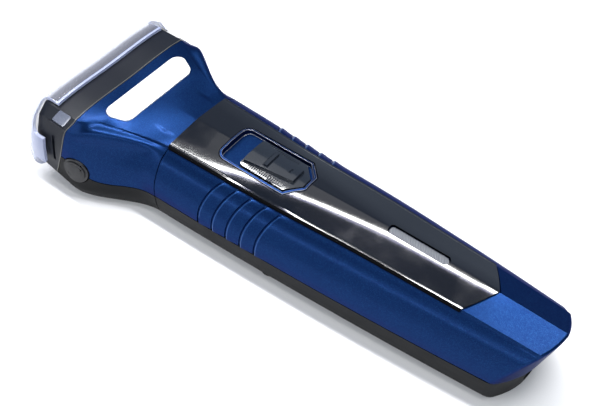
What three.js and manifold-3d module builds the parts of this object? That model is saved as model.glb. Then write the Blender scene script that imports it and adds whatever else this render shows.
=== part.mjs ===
// Cordless foil shaver with a lift-off head, a lift-off foil frame, a clear cap and a thumb switch.
// Millimetres. X runs from the foils to the tail, Y across, Z up from the back it lies on.
// X = 0 is the joint between the head and the handle until the whole model is centred at the end.
import * as THREE from 'three';
import { mergeVertices } from 'three/addons/utils/BufferGeometryUtils.js';
import Module from 'manifold-3d';

const wasm = await Module();
wasm.setup();

// ---- driving sizes ----------------------------------------------------------------------------
const handleLength = 118.2;      // head joint to the middle of the tail, at the ridge
const neckHalf = 20.3;           // half width of the handle at the head joint
const waistHalf = 17.7;          // half width half-way along the handle
const tailHalf = 12.6;           // half width at the tail
const headHalf = 29.3;           // half width of the head at the foil frame
const headDepth = 26.9;          // front face of the head above the back
const neckRidge = 25.3;          // height of the spine's ridge at the neck
const crownRidge = 26.8;         // highest point of the ridge
const tailRidge = 26.05;         // height of the ridge at the tail
const spineNeck = 12.0;          // half width of the raised spine at the neck
const spineTail = 7.35;          // half width of the raised spine at the tail
const spineStep = 0.9;           // how far the spine stands above the sides
const tailBow = 0.034;           // bow of the tail in plan, per millimetre
const tailLean = 0.24;           // how far the tail leans in for each millimetre below the ridge
const tailFoot = 1.4;            // and how much further it runs in between the seam and the back
const headLength = 26;           // head joint to the frame joint, on the front face
const frameReach = 40;           // head joint to the deck of the foil frame
const foilReach = 42;            // head joint to the crest of the foils
const capRim = 34.2;             // head joint to the rim of the cap on the front face
const seamHeight = 10;           // height of the seam between the two handle shells
const wall = 1.6;                // shell wall
const gap = 0.3;                 // running and fitting clearance
const seamGap = 0.3;             // visible joint line between two shells
const fasciaThick = 1.8;
const capWall = 1.1;

// ---- small helpers ----------------------------------------------------------------------------
const mix = (a, b, t) => a + (b - a) * t;
const ease = (from, to, x) => THREE.MathUtils.smoothstep(x, from, to);
const through = (start, middle, end, t) =>
  start * (1 - t) * (1 - 2 * t) + middle * 4 * t * (1 - t) + end * t * (2 * t - 1);

function solid(geometry) {
  const bare = geometry.clone();
  bare.deleteAttribute('normal');
  bare.deleteAttribute('uv');
  const merged = mergeVertices(bare, 1e-4);
  return new wasm.Manifold(new wasm.Mesh({
    numProp: 3,
    vertProperties: new Float32Array(merged.attributes.position.array),
    triVerts: new Uint32Array(merged.index.array),
  }));
}

function geometryOf(manifold) {
  const mesh = manifold.getMesh();
  const geometry = new THREE.BufferGeometry();
  geometry.setAttribute('position', new THREE.BufferAttribute(mesh.vertProperties, 3));
  geometry.setIndex(new THREE.BufferAttribute(mesh.triVerts, 1));
  return geometry;
}

// Prism of an outline along an axis. Outlines are [y, z] along x, [x, z] along y, [x, y] along z.
function prism(axis, outline, from, to) {
  const shape = new THREE.Shape(outline.map(([u, v]) => new THREE.Vector2(u, v)));
  const geometry = new THREE.ExtrudeGeometry(shape, { depth: to - from, bevelEnabled: false });
  const [ux, uy, uz] = {
    x: [[0, 1, 0], [0, 0, 1], [1, 0, 0]],
    y: [[1, 0, 0], [0, 0, 1], [0, -1, 0]],
    z: [[1, 0, 0], [0, 1, 0], [0, 0, 1]],
  }[axis].map((v) => new THREE.Vector3(...v));
  geometry.translate(0, 0, axis === 'y' ? -to : from);
  geometry.applyMatrix4(new THREE.Matrix4().makeBasis(ux, uy, uz));
  return solid(geometry);
}

function block(x0, x1, y0, y1, z0, z1) {
  const geometry = new THREE.BoxGeometry(x1 - x0, y1 - y0, z1 - z0);
  geometry.translate((x0 + x1) / 2, (y0 + y1) / 2, (z0 + z1) / 2);
  return solid(geometry);
}

// Turned solid: profile points are [radius, height] from axis to axis, turned about +Z at the origin
function turned(profile, sides) {
  return new THREE.LatheGeometry(profile.map(([r, h]) => new THREE.Vector2(r, h)), sides)
    .rotateX(Math.PI / 2);
}

const alongX = (geometry) => geometry.rotateY(Math.PI / 2);
const alongY = (geometry, sign) => geometry.rotateX(-sign * Math.PI / 2);

function rod(axis, radius, from, to, u, v, sides = 16) {
  const geometry = turned([[0, from], [radius, from], [radius, to], [0, to]], sides);
  if (axis === 'x') return solid(alongX(geometry).translate(0, u, v));
  if (axis === 'y') return solid(alongY(geometry, 1).translate(u, 0, v));
  return solid(geometry.translate(u, v, 0));
}

// Skin over rings of [x, y, z] points, all with the same count, closed by flat ends
function loft(rings) {
  const count = rings[0].length;
  const positions = rings.flat(2);
  const faces = [];
  for (let r = 0; r + 1 < rings.length; r++) {
    for (let i = 0; i < count; i++) {
      const a = r * count + i;
      const b = r * count + (i + 1) % count;
      faces.push(a, b, b + count, a, b + count, a + count);
    }
  }
  const spread = (ring, k) => Math.max(...ring.map((p) => p[k])) - Math.min(...ring.map((p) => p[k]));
  const flat = (ring) => {
    const spreads = [0, 1, 2].map((k) => spread(ring, k));
    const drop = spreads.indexOf(Math.min(...spreads));
    return ring.map((p) => new THREE.Vector2(...p.filter((_, k) => k !== drop)));
  };
  const cap = (ring, start, reverse) => {
    const outline = flat(ring);
    const clockwise = THREE.ShapeUtils.isClockWise(outline);
    THREE.ShapeUtils.triangulateShape(clockwise ? [...outline].reverse() : outline, []).forEach((face) => {
      const [a, b, c] = face.map((i) => start + (clockwise ? count - 1 - i : i));
      faces.push(...(reverse !== clockwise ? [a, c, b] : [a, b, c]));
    });
  };
  cap(rings[0], 0, true);
  cap(rings.at(-1), (rings.length - 1) * count, false);
  const geometry = new THREE.BufferGeometry();
  geometry.setAttribute('position', new THREE.Float32BufferAttribute(positions, 3));
  geometry.setIndex(faces);
  const skin = solid(geometry);
  return skin.volume() > 0 ? skin : solid(flipped(geometry));
}

function flipped(geometry) {
  const index = geometry.index.array;
  for (let i = 0; i < index.length; i += 3) [index[i], index[i + 1]] = [index[i + 1], index[i]];
  return geometry;
}

const union = (...parts) => parts.reduce((a, b) => a.add(b));

// Stretch along Y from one distance out to another, on the side -1 or 1
const span = (side, from, to) => (side < 0 ? [-to, -from] : [from, to]);

// ---- outer form -------------------------------------------------------------------------------
// The side leaves the spine's edge in steps of [share of the way out, drop below the spine's edge],
// then runs down the skirt in steps of [share of the way out, share of the seam's height].
const sideSteps = [[0.27, 1.5], [0.48, 3.0], [0.67, 5.2], [0.87, 8.2], [0.975, 11.2]];
const skirtSteps = [[1, 0.95], [0.955, 0.45], [0.8, 0.12], [0.6, 0]];
// Outline of the foil frame: share of the head's half width, share of its depth
const frameShape = [
  [0, 1], [0.67, 0.995], [0.759, 0.978], [0.861, 0.859], [0.894, 0.76], [0.932, 0.625], [0.953, 0.506],
  [0.97, 0.372], [0.984, 0.242], [1, 0.15], [0.96, 0.05], [0.86, 0.008], [0, 0.008],
];
// How far from the neck each of its lines starts to flare
const flareStart = [0, -2, -2, 1, 3, 4, 4, 3, 2, 0, 0, 0, 0];
const flareEnd = headLength + 1.5;
const frameRise = 5;             // how far the back of the frame climbs towards its deck

const spineHalf = (x) => mix(spineNeck, spineTail, x / handleLength);
const sideHalf = (x) => through(neckHalf, waistHalf, tailHalf, x / handleLength);
const roofDrop = (x) => mix(1.8, 2.75, x / handleLength);
function ridge(x) {
  const climb = (crownRidge - neckRidge) * ease(0.17 * handleLength, 0.57 * handleLength, x);
  const past = Math.max(0, x / handleLength - 0.68) / 0.32;
  return neckRidge + climb - (crownRidge - tailRidge) * past * past;
}

// Half outline of the handle at x, from the ridge round to the middle of the back, as [y, z]
function handleHalf(x) {
  const spine = spineHalf(x);
  const spread = sideHalf(x) - spine;
  const edge = ridge(x) - roofDrop(x);
  return [
    [0, ridge(x)],
    [spine, edge],
    [spine + gap / 2, edge - spineStep],
    ...sideSteps.map(([out, drop]) => [spine + out * spread, edge - drop]),
    ...skirtSteps.map(([out, up]) => [spine + out * spread, up * seamHeight]),
    [0, 0],
  ];
}

// Half outline of the head and the foil frame at x < 0: the neck's outline flares into the frame's
function headHalfOutline(x) {
  const neck = handleHalf(0);
  const out = Math.max(0, -x - headLength) / (frameReach - headLength);
  return frameShape.map(([across, up], i) => {
    const flare = ease(flareStart[i], flareEnd, -x);
    const lift = ease(0, headLength - 2, -x);
    const y = mix(neck[i][0], across * headHalf, flare);
    const z = mix(neck[i][1], up * headDepth, lift);
    return [y, z + frameRise * out * (1 - z / headDepth)];
  });
}

const halfOutline = (x) => (x < 0 ? headHalfOutline(x) : handleHalf(x));

// Whole outline at x, pushed out by grow (in if negative). One number, or one for each half point.
function outlineAt(x, grow = 0) {
  const half = halfOutline(x);
  const ring = [...half, ...half.slice(1, -1).reverse().map(([y, z]) => [-y, z])];
  const grows = Array.isArray(grow) ? [...grow, ...grow.slice(1, -1).reverse()] : ring.map(() => grow);
  return ring.map(([y, z], i) => {
    const [ay, az] = ring.at(i - 1);
    const [by, bz] = ring[(i + 1) % ring.length];
    const one = new THREE.Vector2(y - ay, z - az).normalize();
    const two = new THREE.Vector2(by - y, bz - z).normalize();
    const normal = new THREE.Vector2(-(one.y + two.y), one.x + two.x).normalize();
    const reach = grows[i] / Math.max(0.5, -one.y * normal.x + one.x * normal.y);
    return [x, y + normal.x * reach, z + normal.y * reach];
  });
}

const handleStations = [0, 0.085, 0.186, 0.288, 0.398, 0.508, 0.618, 0.728, 0.838, 0.922, 1.007]
  .map((share) => share * handleLength);
const headStations = [0, 0.154, 0.308, 0.462, 0.615, 0.769, 0.923, 1.077, 1.308, 1.538]
  .map((share) => -share * headLength);
const formBetween = (stations, grow) => loft(stations.map((x) => outlineAt(x, grow)));

// Everything on the head side of the bowed, leaning tail, pulled in by inset
function tailCut(inset) {
  const steps = 12;
  const reach = tailHalf + 3;
  const endAt = (z) => handleLength - inset - tailLean * (tailRidge - Math.max(z, seamHeight))
    - tailFoot * Math.max(0, 1 - z / seamHeight);
  const ring = (z) => {
    const arc = Array.from({ length: steps + 1 }, (_, i) => {
      const y = mix(-reach, reach, i / steps);
      return [endAt(z) - tailBow * y * y, y, z];
    });
    const corner = arc[0][0];
    const side = reach + 20;
    return [[-20, -side, z], [corner, -side, z], ...arc, [corner, side, z], [-20, side, z]];
  };
  return loft([ring(-seamHeight / 2), ring(seamHeight), ring(60)]);
}

// Seam between the blue front shells and the grey back shells, as [x, z] from the frame to the tail
const seamLine = [
  [-45, 13.2], [-27, 13.2], [-20, 9], [-15.5, 8.3], [-10, 8.8], [-4, 9.5], [0, seamHeight - 0.2],
  [4, seamHeight], [handleLength + 10, seamHeight],
];
const above = (lift) => prism('y', [...seamLine.map(([x, z]) => [x, z + lift]),
  [handleLength + 10, 60], [-45, 60]], -60, 60);
const below = (lift) => prism('y', [...seamLine.map(([x, z]) => [x, z + lift]),
  [handleLength + 10, -10], [-45, -10]], -60, 60);

// Joint between the head and the foil frame seen from the side, as [past the front joint, height],
// and everything on the head side (or the frame side) of it
const frameJoint = [[9.5, -5], [6.4, 6.2], [4.1, 13.7], [3.3, 17.2], [2.3, 22.8], [0.3, 26.3], [0, 45]];
const besideJoint = (farX, shift) => prism('y', [
  ...frameJoint.map(([back, z]) => [-headLength - back + shift, z]), [farX, 45], [farX, -5],
], -60, 60);
const headSide = (shift) => besideJoint(80, shift);
const frameSide = (shift) => besideJoint(-80, shift);

// ---- spine, fascia, switch well and charge window ---------------------------------------------
const fasciaTip = handleLength - 19.2;            // point of the fascia's V on the ridge
const fasciaSlant = 0.51;        // how far the V's sides run back for each millimetre out

// Roof-shaped slab on the spine, from lift above its surface to depth below, grow wider each side
function roof(from, to, lift, depth, grow) {
  const stations = [from, 4, ...handleStations.slice(1)].filter((x, i) => (!i || x > from) && x < to);
  return loft([...stations, to].map((x) => {
    const half = spineHalf(Math.max(0, x)) + grow;
    const top = ridge(Math.max(0, x)) + lift;
    const edge = top - roofDrop(Math.max(0, x));
    return [[x, 0, top], [x, half, edge], [x, half, edge - depth - lift], [x, 0, top - depth - lift],
      [x, -half, edge - depth - lift], [x, -half, edge]];
  }));
}

function fasciaPlan(grow, start) {
  const tip = fasciaTip + grow * 1.12;
  const wide = spineNeck + 3;
  const back = tip - wide * fasciaSlant;
  return [[start, -wide], [back, -wide], [tip, 0], [back, wide], [start, wide]];
}

const wellStart = 13.1;          // switch well along X and its half width
const wellHalf = 7.1;
const wellCorner = 4.5;          // chamfered corners at the tail side of the well
const wellFloor = neckRidge - 2.7;
const wellFloorThick = 1.1;
const bezelWall = 0.9;
const travel = 5;                // stroke of the thumb switch
const buttonLength = 20;
const wellEnd = wellStart + buttonLength + travel + 2 * (bezelWall + gap) + 0.9;
const buttonTop = neckRidge + 1.4;

// Round-nosed outline in plan: rounded towards the head, chamfered towards the tail
function wellPlan(start, end, half, corner, radius) {
  const arc = (side) => [0, 1, 2, 3].map((i) => {
    const angle = i / 3 * Math.PI / 2;
    return [start + radius * (1 - Math.sin(angle)), side * (half - radius * (1 - Math.cos(angle)))];
  });
  return [
    ...arc(-1).reverse(), [end - corner, -half], [end, -half + corner],
    [end, half - corner], [end - corner, half], ...arc(1),
  ];
}
const wellOutline = (grow) =>
  wellPlan(wellStart - grow, wellEnd + grow, wellHalf + grow, wellCorner + 0.4 * grow, 3 + grow);

const windowStart = 67;          // charge window along X and its half width
const windowEnd = 84.6;
const windowHalf = 1.5;
const windowPlan = (grow) => wellPlan(windowStart - grow, windowEnd + grow, windowHalf + grow, 0.5, 0.5);

// ---- inner parts ------------------------------------------------------------------------------
const shaftHeight = 10.3;        // motor axis above the back
const plugDepth = 7;             // how far the head's plug enters the handle
const plugHollow = 0.84;         // hollow of the plug as a share of its outline
const bulkheadX = plugDepth + 0.6;
const bulkheadThick = 2;
const motorStart = bulkheadX + bulkheadThick + 1.4;
const motorLength = 25;
const motorRadius = 10;
const motorFlat = 7.6;
const shaftRadius = 1;
const crankThrow = 1;            // the drive pin runs this far off the motor's axis
const pinRadius = 0.8;
const stroke = 1;                // cutters move this far to each side
const cellRadius = 7.1;          // one AA cell
const cellLength = 50.5;
const cellStart = motorStart + motorLength + 3.4;
const cellHeight = cellRadius + wall + 2 * gap + 0.2;   // the cradle's web lies under the cell
const carrierThick = 1.1;
const carrierTop = wellFloor - wellFloorThick - gap;
const boardTop = carrierTop - carrierThick - gap - 1.2;
const boardThick = 1.2;
const boardStart = motorStart + motorLength + 2;
const boardEnd = cellStart + cellLength + 2.1;
const boardHalf = 8;
const screwHead = 2.3;
const screwShank = 1.1;
const screwHeadTall = 1.6;
const screwDepth = 2.4;          // the heads lie this far inside the back
const handleScrews = [[38.5, 14.4], [handleLength - 22.7, 8]];
const headScrews = [[-13.5, headHalf - 14.1]];
const socketEnd = handleLength - 8.6;
const socketLength = 11;
const socketHalf = 5.6;
const socketHeight = 6.1;
const inletHalf = 4.2;           // charging inlet, half width and half height
const inletTall = 2.5;

const buttonX = -24.8;           // frame release buttons
const buttonZ = 10.9;
const buttonRadius = 4.2;
const buttonTravel = 1.5;
const buttonFlange = 0.8;        // the flange behind each button stands out by this much
const springRadius = 2.4;
const deckThick = 2;
const deckX = buttonX - deckThick / 2;   // outer face of the head deck
const deckHalf = headHalf - 9.3;
const buttonSeat = deckHalf + buttonTravel + 0.9;   // inner end of each button, at rest
const flangeThick = 0.9;
const foilRadius = 5;
const foilHalf = headHalf - 6.7;           // half length of the foils
const foilThick = 0.35;
const foilPitch = 2 * foilRadius + 0.8;
const foilMiddle = 15;
const foilHeights = [foilMiddle - foilPitch / 2, foilMiddle + foilPitch / 2];
const foilCentre = -foilReach + foilRadius;
const capClear = 0.9;            // room between the foils and the cap
const capEase = 0.9;             // extra room between the frame's ends and the cap
const capReach = foilReach + capClear + capWall;
const bridgeX = -15.5;

const bossTop = 21.5;
function screwBosses(places, from, to, radius) {
  return places.flatMap(([x, y]) => [-1, 1].map((side) => rod('z', radius, from, to, x, side * y, 14)));
}
const cutAll = (body, tools) => tools.reduce((a, b) => a.subtract(b), body);

// ---- shells of the handle ---------------------------------------------------------------------
const roofInset = fasciaThick + gap + 1.3;
const handleInset = [roofInset, roofInset, roofInset - 0.8, wall + 0.2, ...Array(9).fill(wall)]
  .map((depth) => -depth);
const handleOuter = formBetween(handleStations, 0);
const mouth = (ring, from, to) => loft([from, to].map((at) => ring.map(([, y, z]) => [at, y, z])));
const handleInner = formBetween(handleStations, handleInset)
  .add(mouth(outlineAt(0, handleInset), -1.5, 0.5));
const neckCut = block(seamGap / 2, handleLength + 9, -60, 60, -5, 50);

function handleShell(tailInset) {
  const skin = handleOuter.intersect(tailCut(tailInset)).intersect(neckCut);
  return skin.subtract(handleInner.intersect(tailCut(tailInset + wall + 0.2)));
}

// Five grip grooves on each side lean towards the head on their way down
const gripCount = 5;
const gripFirst = 20;
const gripPitch = 4.93;
const gripLean = 3.9;
const gripWidth = 0.7;
const gripDepth = 0.6;
const gripBow = 1.1;
const gripSteps = 6;

// Point on the side of the handle, share of the way from the spine down to the widest line
function sidePoint(x, share, grow) {
  const plain = handleHalf(x).slice(2, 9);
  const moved = outlineAt(x, grow).slice(2, 9);
  const lengths = plain.slice(1).map(([y, z], i) => Math.hypot(y - plain[i][0], z - plain[i][1]));
  let left = share * lengths.reduce((a, b) => a + b);
  let step = 0;
  while (step < lengths.length - 1 && left > lengths[step]) left -= lengths[step++];
  return moved[step].map((value, k) => mix(value, moved[step + 1][k], left / lengths[step]));
}

function gripGroove(top, side) {
  const rings = Array.from({ length: gripSteps + 1 }, (_, i) => {
    const t = i / gripSteps;
    const x = top - gripLean * t - gripBow * Math.sin(Math.PI * t);
    const share = mix(-0.06, 1, t);
    return [[x, 1], [x + gripWidth, 1], [x + gripWidth, -gripDepth], [x, -gripDepth]]
      .map(([at, grow]) => sidePoint(at, share, grow)).map(([at, y, z]) => [at, side * y, z]);
  });
  return loft(rings);
}
const gripGrooves = () => Array.from({ length: gripCount }, (_, n) => [-1, 1]
  .map((side) => gripGroove(gripFirst + n * gripPitch, side))).flat();

function upperShell() {
  const pocket = roof(-2, fasciaTip + 5, 2, fasciaThick + gap, gap)
    .intersect(prism('z', fasciaPlan(gap, -5), 0, 50));
  const bosses = union(...screwBosses(handleScrews, seamHeight + seamGap / 2, bossTop, 2.9))
    .intersect(formBetween(handleStations, -1));
  const pilots = screwBosses(handleScrews, 0, seamHeight + 7, screwShank + gap);
  return cutAll(handleShell(0).intersect(above(seamGap / 2)).add(bosses), [
    pocket,
    prism('z', wellOutline(gap), 15, 40),
    prism('z', windowPlan(gap), 15, 40),
    ...gripGrooves(),
    ...pilots,
  ]);
}

function lowerShell() {
  const bosses = union(...screwBosses(handleScrews, 1, seamHeight - seamGap / 2, 3.1))
    .intersect(formBetween(handleStations, -0.8));
  const inlet = block(socketEnd - 1, handleLength + 2, -inletHalf, inletHalf,
    socketHeight - inletTall, socketHeight + inletTall);
  return cutAll(handleShell(0.3).intersect(below(-seamGap / 2)).add(bosses), [
    inlet,
    ...screwBosses(handleScrews, -1, 20, screwShank + gap),
    ...screwBosses(handleScrews, -1, screwDepth + screwHeadTall + gap, screwHead + gap),
  ]);
}

function fascia() {
  const slab = roof(seamGap / 2, fasciaTip + 5, 0, fasciaThick, 0);
  return cutAll(slab.intersect(prism('z', fasciaPlan(0, -5), 0, 50)), [
    prism('z', wellOutline(gap), 15, 40),
    prism('z', windowPlan(gap), 15, 40),
  ]);
}

// ---- thumb switch -----------------------------------------------------------------------------
const buttonEnd = wellEnd - bezelWall - gap;
const buttonStart = buttonEnd - buttonLength;
const buttonHalf = wellHalf - bezelWall - gap;
const stemStart = buttonStart + 7;
const stemLength = 5;
const stemHalf = 1.8;
const switchStart = 44;          // electrical slide switch on the board
const switchLength = travel + 5;
const knobStart = switchStart + travel + 1.8;
const knobLength = 2;
const knobHalf = 1.3;

function switchBezel() {
  const floorUnder = wellFloor - wellFloorThick;
  const rimmed = prism('z', wellOutline(0), floorUnder, 40)
    .intersect(roof(8, 50, 0.25, 8, 2));
  return cutAll(rimmed, [
    prism('z', wellOutline(-bezelWall), wellFloor, 40),
    block(stemStart - travel - gap, stemStart + stemLength + gap, -stemHalf - gap, stemHalf + gap, 10, 40),
  ]);
}

function switchButton() {
  const ring = (inset, z) => wellPlan(buttonStart + inset, buttonEnd - inset * 1.2, buttonHalf - inset,
    wellCorner - 0.4 - inset * 0.3, 1).map(([x, y]) => [x, y, z]);
  const cap = loft([ring(0, wellFloor + gap), ring(0, buttonTop - 1.6), ring(1.3, buttonTop)]);
  const thumbGroove = block(buttonStart + 6, buttonStart + 7.2, -3.1, 3.1, buttonTop - 0.7, buttonTop + 1);
  const stem = block(stemStart, stemStart + stemLength, -stemHalf, stemHalf, carrierTop - 0.8, wellFloor + 1);
  return cap.subtract(thumbGroove).add(stem);
}

function switchCarrier() {
  const plate = block(stemStart - 3, knobStart + 4, -4.5, 4.5, carrierTop - carrierThick, carrierTop);
  return cutAll(plate, [
    block(stemStart - gap, stemStart + stemLength + gap, -stemHalf - gap, stemHalf + gap, 0, 40),
    block(knobStart - gap, knobStart + knobLength + gap, -knobHalf - gap, knobHalf + gap, 0, 40),
  ]);
}

function slideSwitch() {
  const top = carrierTop - carrierThick - gap;
  const can = block(switchStart, switchStart + switchLength, -3, 3, boardTop + 0.15, top);
  const knobSlot = block(switchStart + 1.4, knobStart + knobLength + gap, -knobHalf - gap, knobHalf + gap,
    top - 0.7, top + 1);
  return can.subtract(knobSlot);
}

const switchKnob = () => block(knobStart, knobStart + knobLength, -knobHalf, knobHalf,
  carrierTop - carrierThick - gap - 0.4, carrierTop - 0.2);

// ---- charge window, board and cell ------------------------------------------------------------
const chargeWindow = () => prism('z', windowPlan(0), crownRidge - 4.6, 40)
  .intersect(roof(windowStart - 7, windowEnd + 7, 0, 8, 2));

const circuitBoard = () =>
  block(boardStart, boardEnd, -boardHalf, boardHalf, boardTop - boardThick, boardTop);

function chargeLamp() {
  const profile = [[0, 0], [1.6, 0], [1.6, 0.6], [1.2, 0.6], [1.2, 1.6], [0.8, 2.2], [0, 2.4]];
  return turned(profile, 12).translate((windowStart + windowEnd) / 2, 0, boardTop + 0.15);
}

function batteryCell() {
  const nub = 1.2;
  const profile = [[0, 0], [2.6, 0], [2.6, nub], [cellRadius - 0.6, nub], [cellRadius, nub + 0.6],
    [cellRadius, cellLength - 0.5], [cellRadius - 0.5, cellLength], [0, cellLength]];
  return alongX(turned(profile, 20)).translate(cellStart, 0, cellHeight);
}

function batteryCradle() {
  const half = cellRadius + 2;
  const loose = cellRadius + gap;
  const foot = wall + gap;
  const trough = [];
  for (let i = 0; i <= 10; i++) {
    const angle = Math.PI * i / 10;
    trough.push([Math.cos(angle) * loose, cellHeight - Math.sin(angle) * loose]);
  }
  const top = boardTop - boardThick - gap;
  const outline = [[half, top], [loose, top], ...trough, [-loose, top], [-half, top],
    [-half, foot + 0.6], [-half + 0.6, foot], [half - 0.6, foot], [half, foot + 0.6]];
  return prism('x', outline, cellStart + 2, cellStart + cellLength - 1);
}

// Nickel strips from the ends of the cell up to the board
const batteryTab = (x) => block(x, x + 0.4, -2.6, 2.6, cellHeight - 4, boardTop - boardThick - gap);

// ---- motor ------------------------------------------------------------------------------------
function motorCan() {
  const outline = [];
  for (let i = 0; i < 32; i++) {
    const angle = (i + 0.5) / 32 * 2 * Math.PI;
    const z = THREE.MathUtils.clamp(Math.sin(angle) * motorRadius, -motorFlat, motorFlat);
    outline.push([Math.cos(angle) * motorRadius, shaftHeight + z]);
  }
  const tidy = outline.filter(([y, z], i) => {
    const [, before] = outline.at(i - 1);
    const [, after] = outline[(i + 1) % outline.length];
    return !(z === before && z === after);
  });
  const can = prism('x', tidy, motorStart, motorStart + motorLength);
  const nose = rod('x', 3, bulkheadX + gap, motorStart + 1, 0, shaftHeight);
  return can.add(nose).subtract(rod('x', shaftRadius + gap, 0, motorStart + 6, 0, shaftHeight));
}

function motorBulkhead() {
  const ring = outlineAt(bulkheadX, handleInset.map((d) => d - gap));
  const plate = loft([0, bulkheadThick].map((depth) => ring.map(([x, y, z]) => [x + depth, y, z])));
  const cheek = (side) => block(bulkheadX + 1, motorStart + motorLength - 6,
    ...span(side, motorRadius + gap, motorRadius + 1.9), shaftHeight - 5, shaftHeight + 5);
  return plate.add(cheek(-1)).add(cheek(1)).subtract(rod('x', 3 + gap, 0, 30, 0, shaftHeight));
}

const shaftTip = -6;
const crankThick = 3;
const motorShaft = () =>
  rod('x', shaftRadius, shaftTip + gap, motorStart + 5.5, 0, shaftHeight, 12);

// Eccentric on the shaft's end: a boss round the shaft and a pin that stands off its axis
function driveCrank() {
  const boss = rod('x', 3.2, shaftTip - 1.5, shaftTip + crankThick, 0, shaftHeight, 20);
  const bore = rod('x', shaftRadius + gap, shaftTip, 20, 0, shaftHeight, 12);
  const pin = rod('x', pinRadius, shaftTip - 6, shaftTip, 0, shaftHeight + crankThrow, 10);
  return boss.subtract(bore).add(pin);
}

// ---- charging inlet ---------------------------------------------------------------------------
const pinReach = 5.5;
function chargingSocket() {
  const body = block(socketEnd - socketLength, socketEnd, -socketHalf, socketHalf,
    socketHeight - inletTall - 1.2, socketHeight + inletTall + 1);
  const mouth = block(socketEnd - socketLength + 1.6, socketEnd + 5, -inletHalf, inletHalf,
    socketHeight - inletTall, socketHeight + inletTall);
  return body.subtract(mouth);
}
const socketPin = (side) => rod('x', 0.8, socketEnd - socketLength + 1.6 + gap,
  socketEnd - socketLength + 1.6 + pinReach, side * 2, socketHeight, 10);

function shellScrew(x, y, depth, length) {
  const profile = [[0, 0.5], [0.8, 0.5], [0.8, 0], [screwHead, 0], [screwHead, screwHeadTall],
    [screwShank, screwHeadTall], [screwShank, length - 1], [0, length]];
  return turned(profile, 12).translate(x, y, depth);
}

// ---- head -------------------------------------------------------------------------------------
const headInset = [1.8, 1.8, 1.8, 1.8, ...Array(9).fill(wall)].map((d) => -d);
const headOuter = formBetween(headStations, 0);
const neckEdge = block(-80, -seamGap / 2, -60, 60, -5, 50);
function headShell() {
  const inner = formBetween(headStations, headInset).add(mouth(outlineAt(-0.01, headInset), -1, 3));
  return headOuter.intersect(neckEdge).subtract(inner).intersect(headSide(0));
}

// Blank white label, set into the front of the head
const labelStart = -22.2;
const labelEnd = -14.1;
const labelPlan = (grow) => {
  const side = (s) => [[labelEnd + grow, s * (12 + grow)], [labelEnd - 1.2, s * (13.9 + grow)],
    [-18.4, s * (15.7 + grow)], [-20.4, s * (15.5 + grow)], [labelStart - grow, s * (13.1 + grow)]];
  return [...side(-1).reverse(), ...side(1)];
};
const labelPlate = () => prism('z', labelPlan(0), 20, 40)
  .intersect(formBetween(headStations, 0.15)).subtract(formBetween(headStations, -0.4));

// Through hole for a release button, with a counterbore inside for its flange
function sideHole(side) {
  const seat = buttonSeat + flangeThick + gap;
  const hole = rod('y', buttonRadius + gap, ...span(side, 15, 60), buttonX, buttonZ, 24);
  const flangeRadius = buttonRadius + buttonFlange + gap;
  return hole.add(rod('y', flangeRadius, ...span(side, 15, seat), buttonX, buttonZ, 24));
}
const headBosses = (from, to, radius) => screwBosses(headScrews, from, to, radius);

function headFrontShell() {
  const labelSeat = prism('z', labelPlan(0.2), 20, 40).subtract(formBetween(headStations, -0.7));
  const bosses = union(...headBosses(9.5, 22, 2.9))
    .intersect(formBetween(headStations, -1))
    .intersect(above(seamGap / 2));
  return cutAll(headShell().intersect(above(seamGap / 2)).add(bosses), [
    labelSeat, sideHole(-1), sideHole(1),
    ...headBosses(0, 16, screwShank + gap),
  ]);
}

function headBackShell() {
  const bosses = union(...headBosses(1, 9.5, 3.1))
    .intersect(formBetween(headStations, -0.8))
    .intersect(below(-seamGap / 2));
  return cutAll(headShell().intersect(below(-seamGap / 2)).add(bosses), [
    sideHole(-1), sideHole(1),
    ...headBosses(-1, 20, screwShank + gap),
    ...headBosses(-1, screwDepth + screwHeadTall + gap, screwHead + gap),
  ]);
}

// Hollow plug that carries the head in the mouth of the handle
function neckPlug() {
  const ringAt = (x, scale) => {
    const outside = outlineAt(Math.max(0, Math.min(x, plugDepth)), handleInset.map((d) => d - gap));
    const heights = outside.map((p) => p[2]);
    const middle = (Math.max(...heights) + Math.min(...heights)) / 2;
    return outside.map(([, y, z]) => [x, y * scale, middle + (z - middle) * scale]);
  };
  const hollow = loft([ringAt(-10, plugHollow), ringAt(20, plugHollow)]);
  return loft([ringAt(-3.5, 1), ringAt(plugDepth, 1)]).subtract(hollow);
}

// Plate across the head that carries the drive and the button springs
function headDeck() {
  const front = formBetween(headStations, headInset.map((d) => d - gap));
  const plate = block(deckX, deckX + deckThick, -deckHalf, deckHalf, -5, 50).intersect(front);
  const post = (side) => rod('y', 1.5, ...span(side, deckHalf - 1, deckHalf + 2), buttonX, buttonZ, 10);
  const opening = block(deckX - 5, deckX + 10, -6.5, 6.5, foilHeights[0] - 4, foilHeights[1] + 3);
  return plate.subtract(opening).add(post(-1)).add(post(1));
}

// The release button's face follows the side of the head and stands a little proud of it
function releaseButton(side) {
  const face = formBetween(headStations, 0.7);
  const at = [buttonX, buttonZ, 24];
  const stem = rod('y', buttonRadius, ...span(side, buttonSeat, 60), ...at).intersect(face);
  const flangeSpan = span(side, buttonSeat, buttonSeat + flangeThick);
  const flange = rod('y', buttonRadius + buttonFlange, ...flangeSpan, ...at);
  const bore = rod('y', springRadius + 1, ...span(side, 0, buttonSeat + 3.8), ...at);
  return stem.add(flange).subtract(bore);
}

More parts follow.
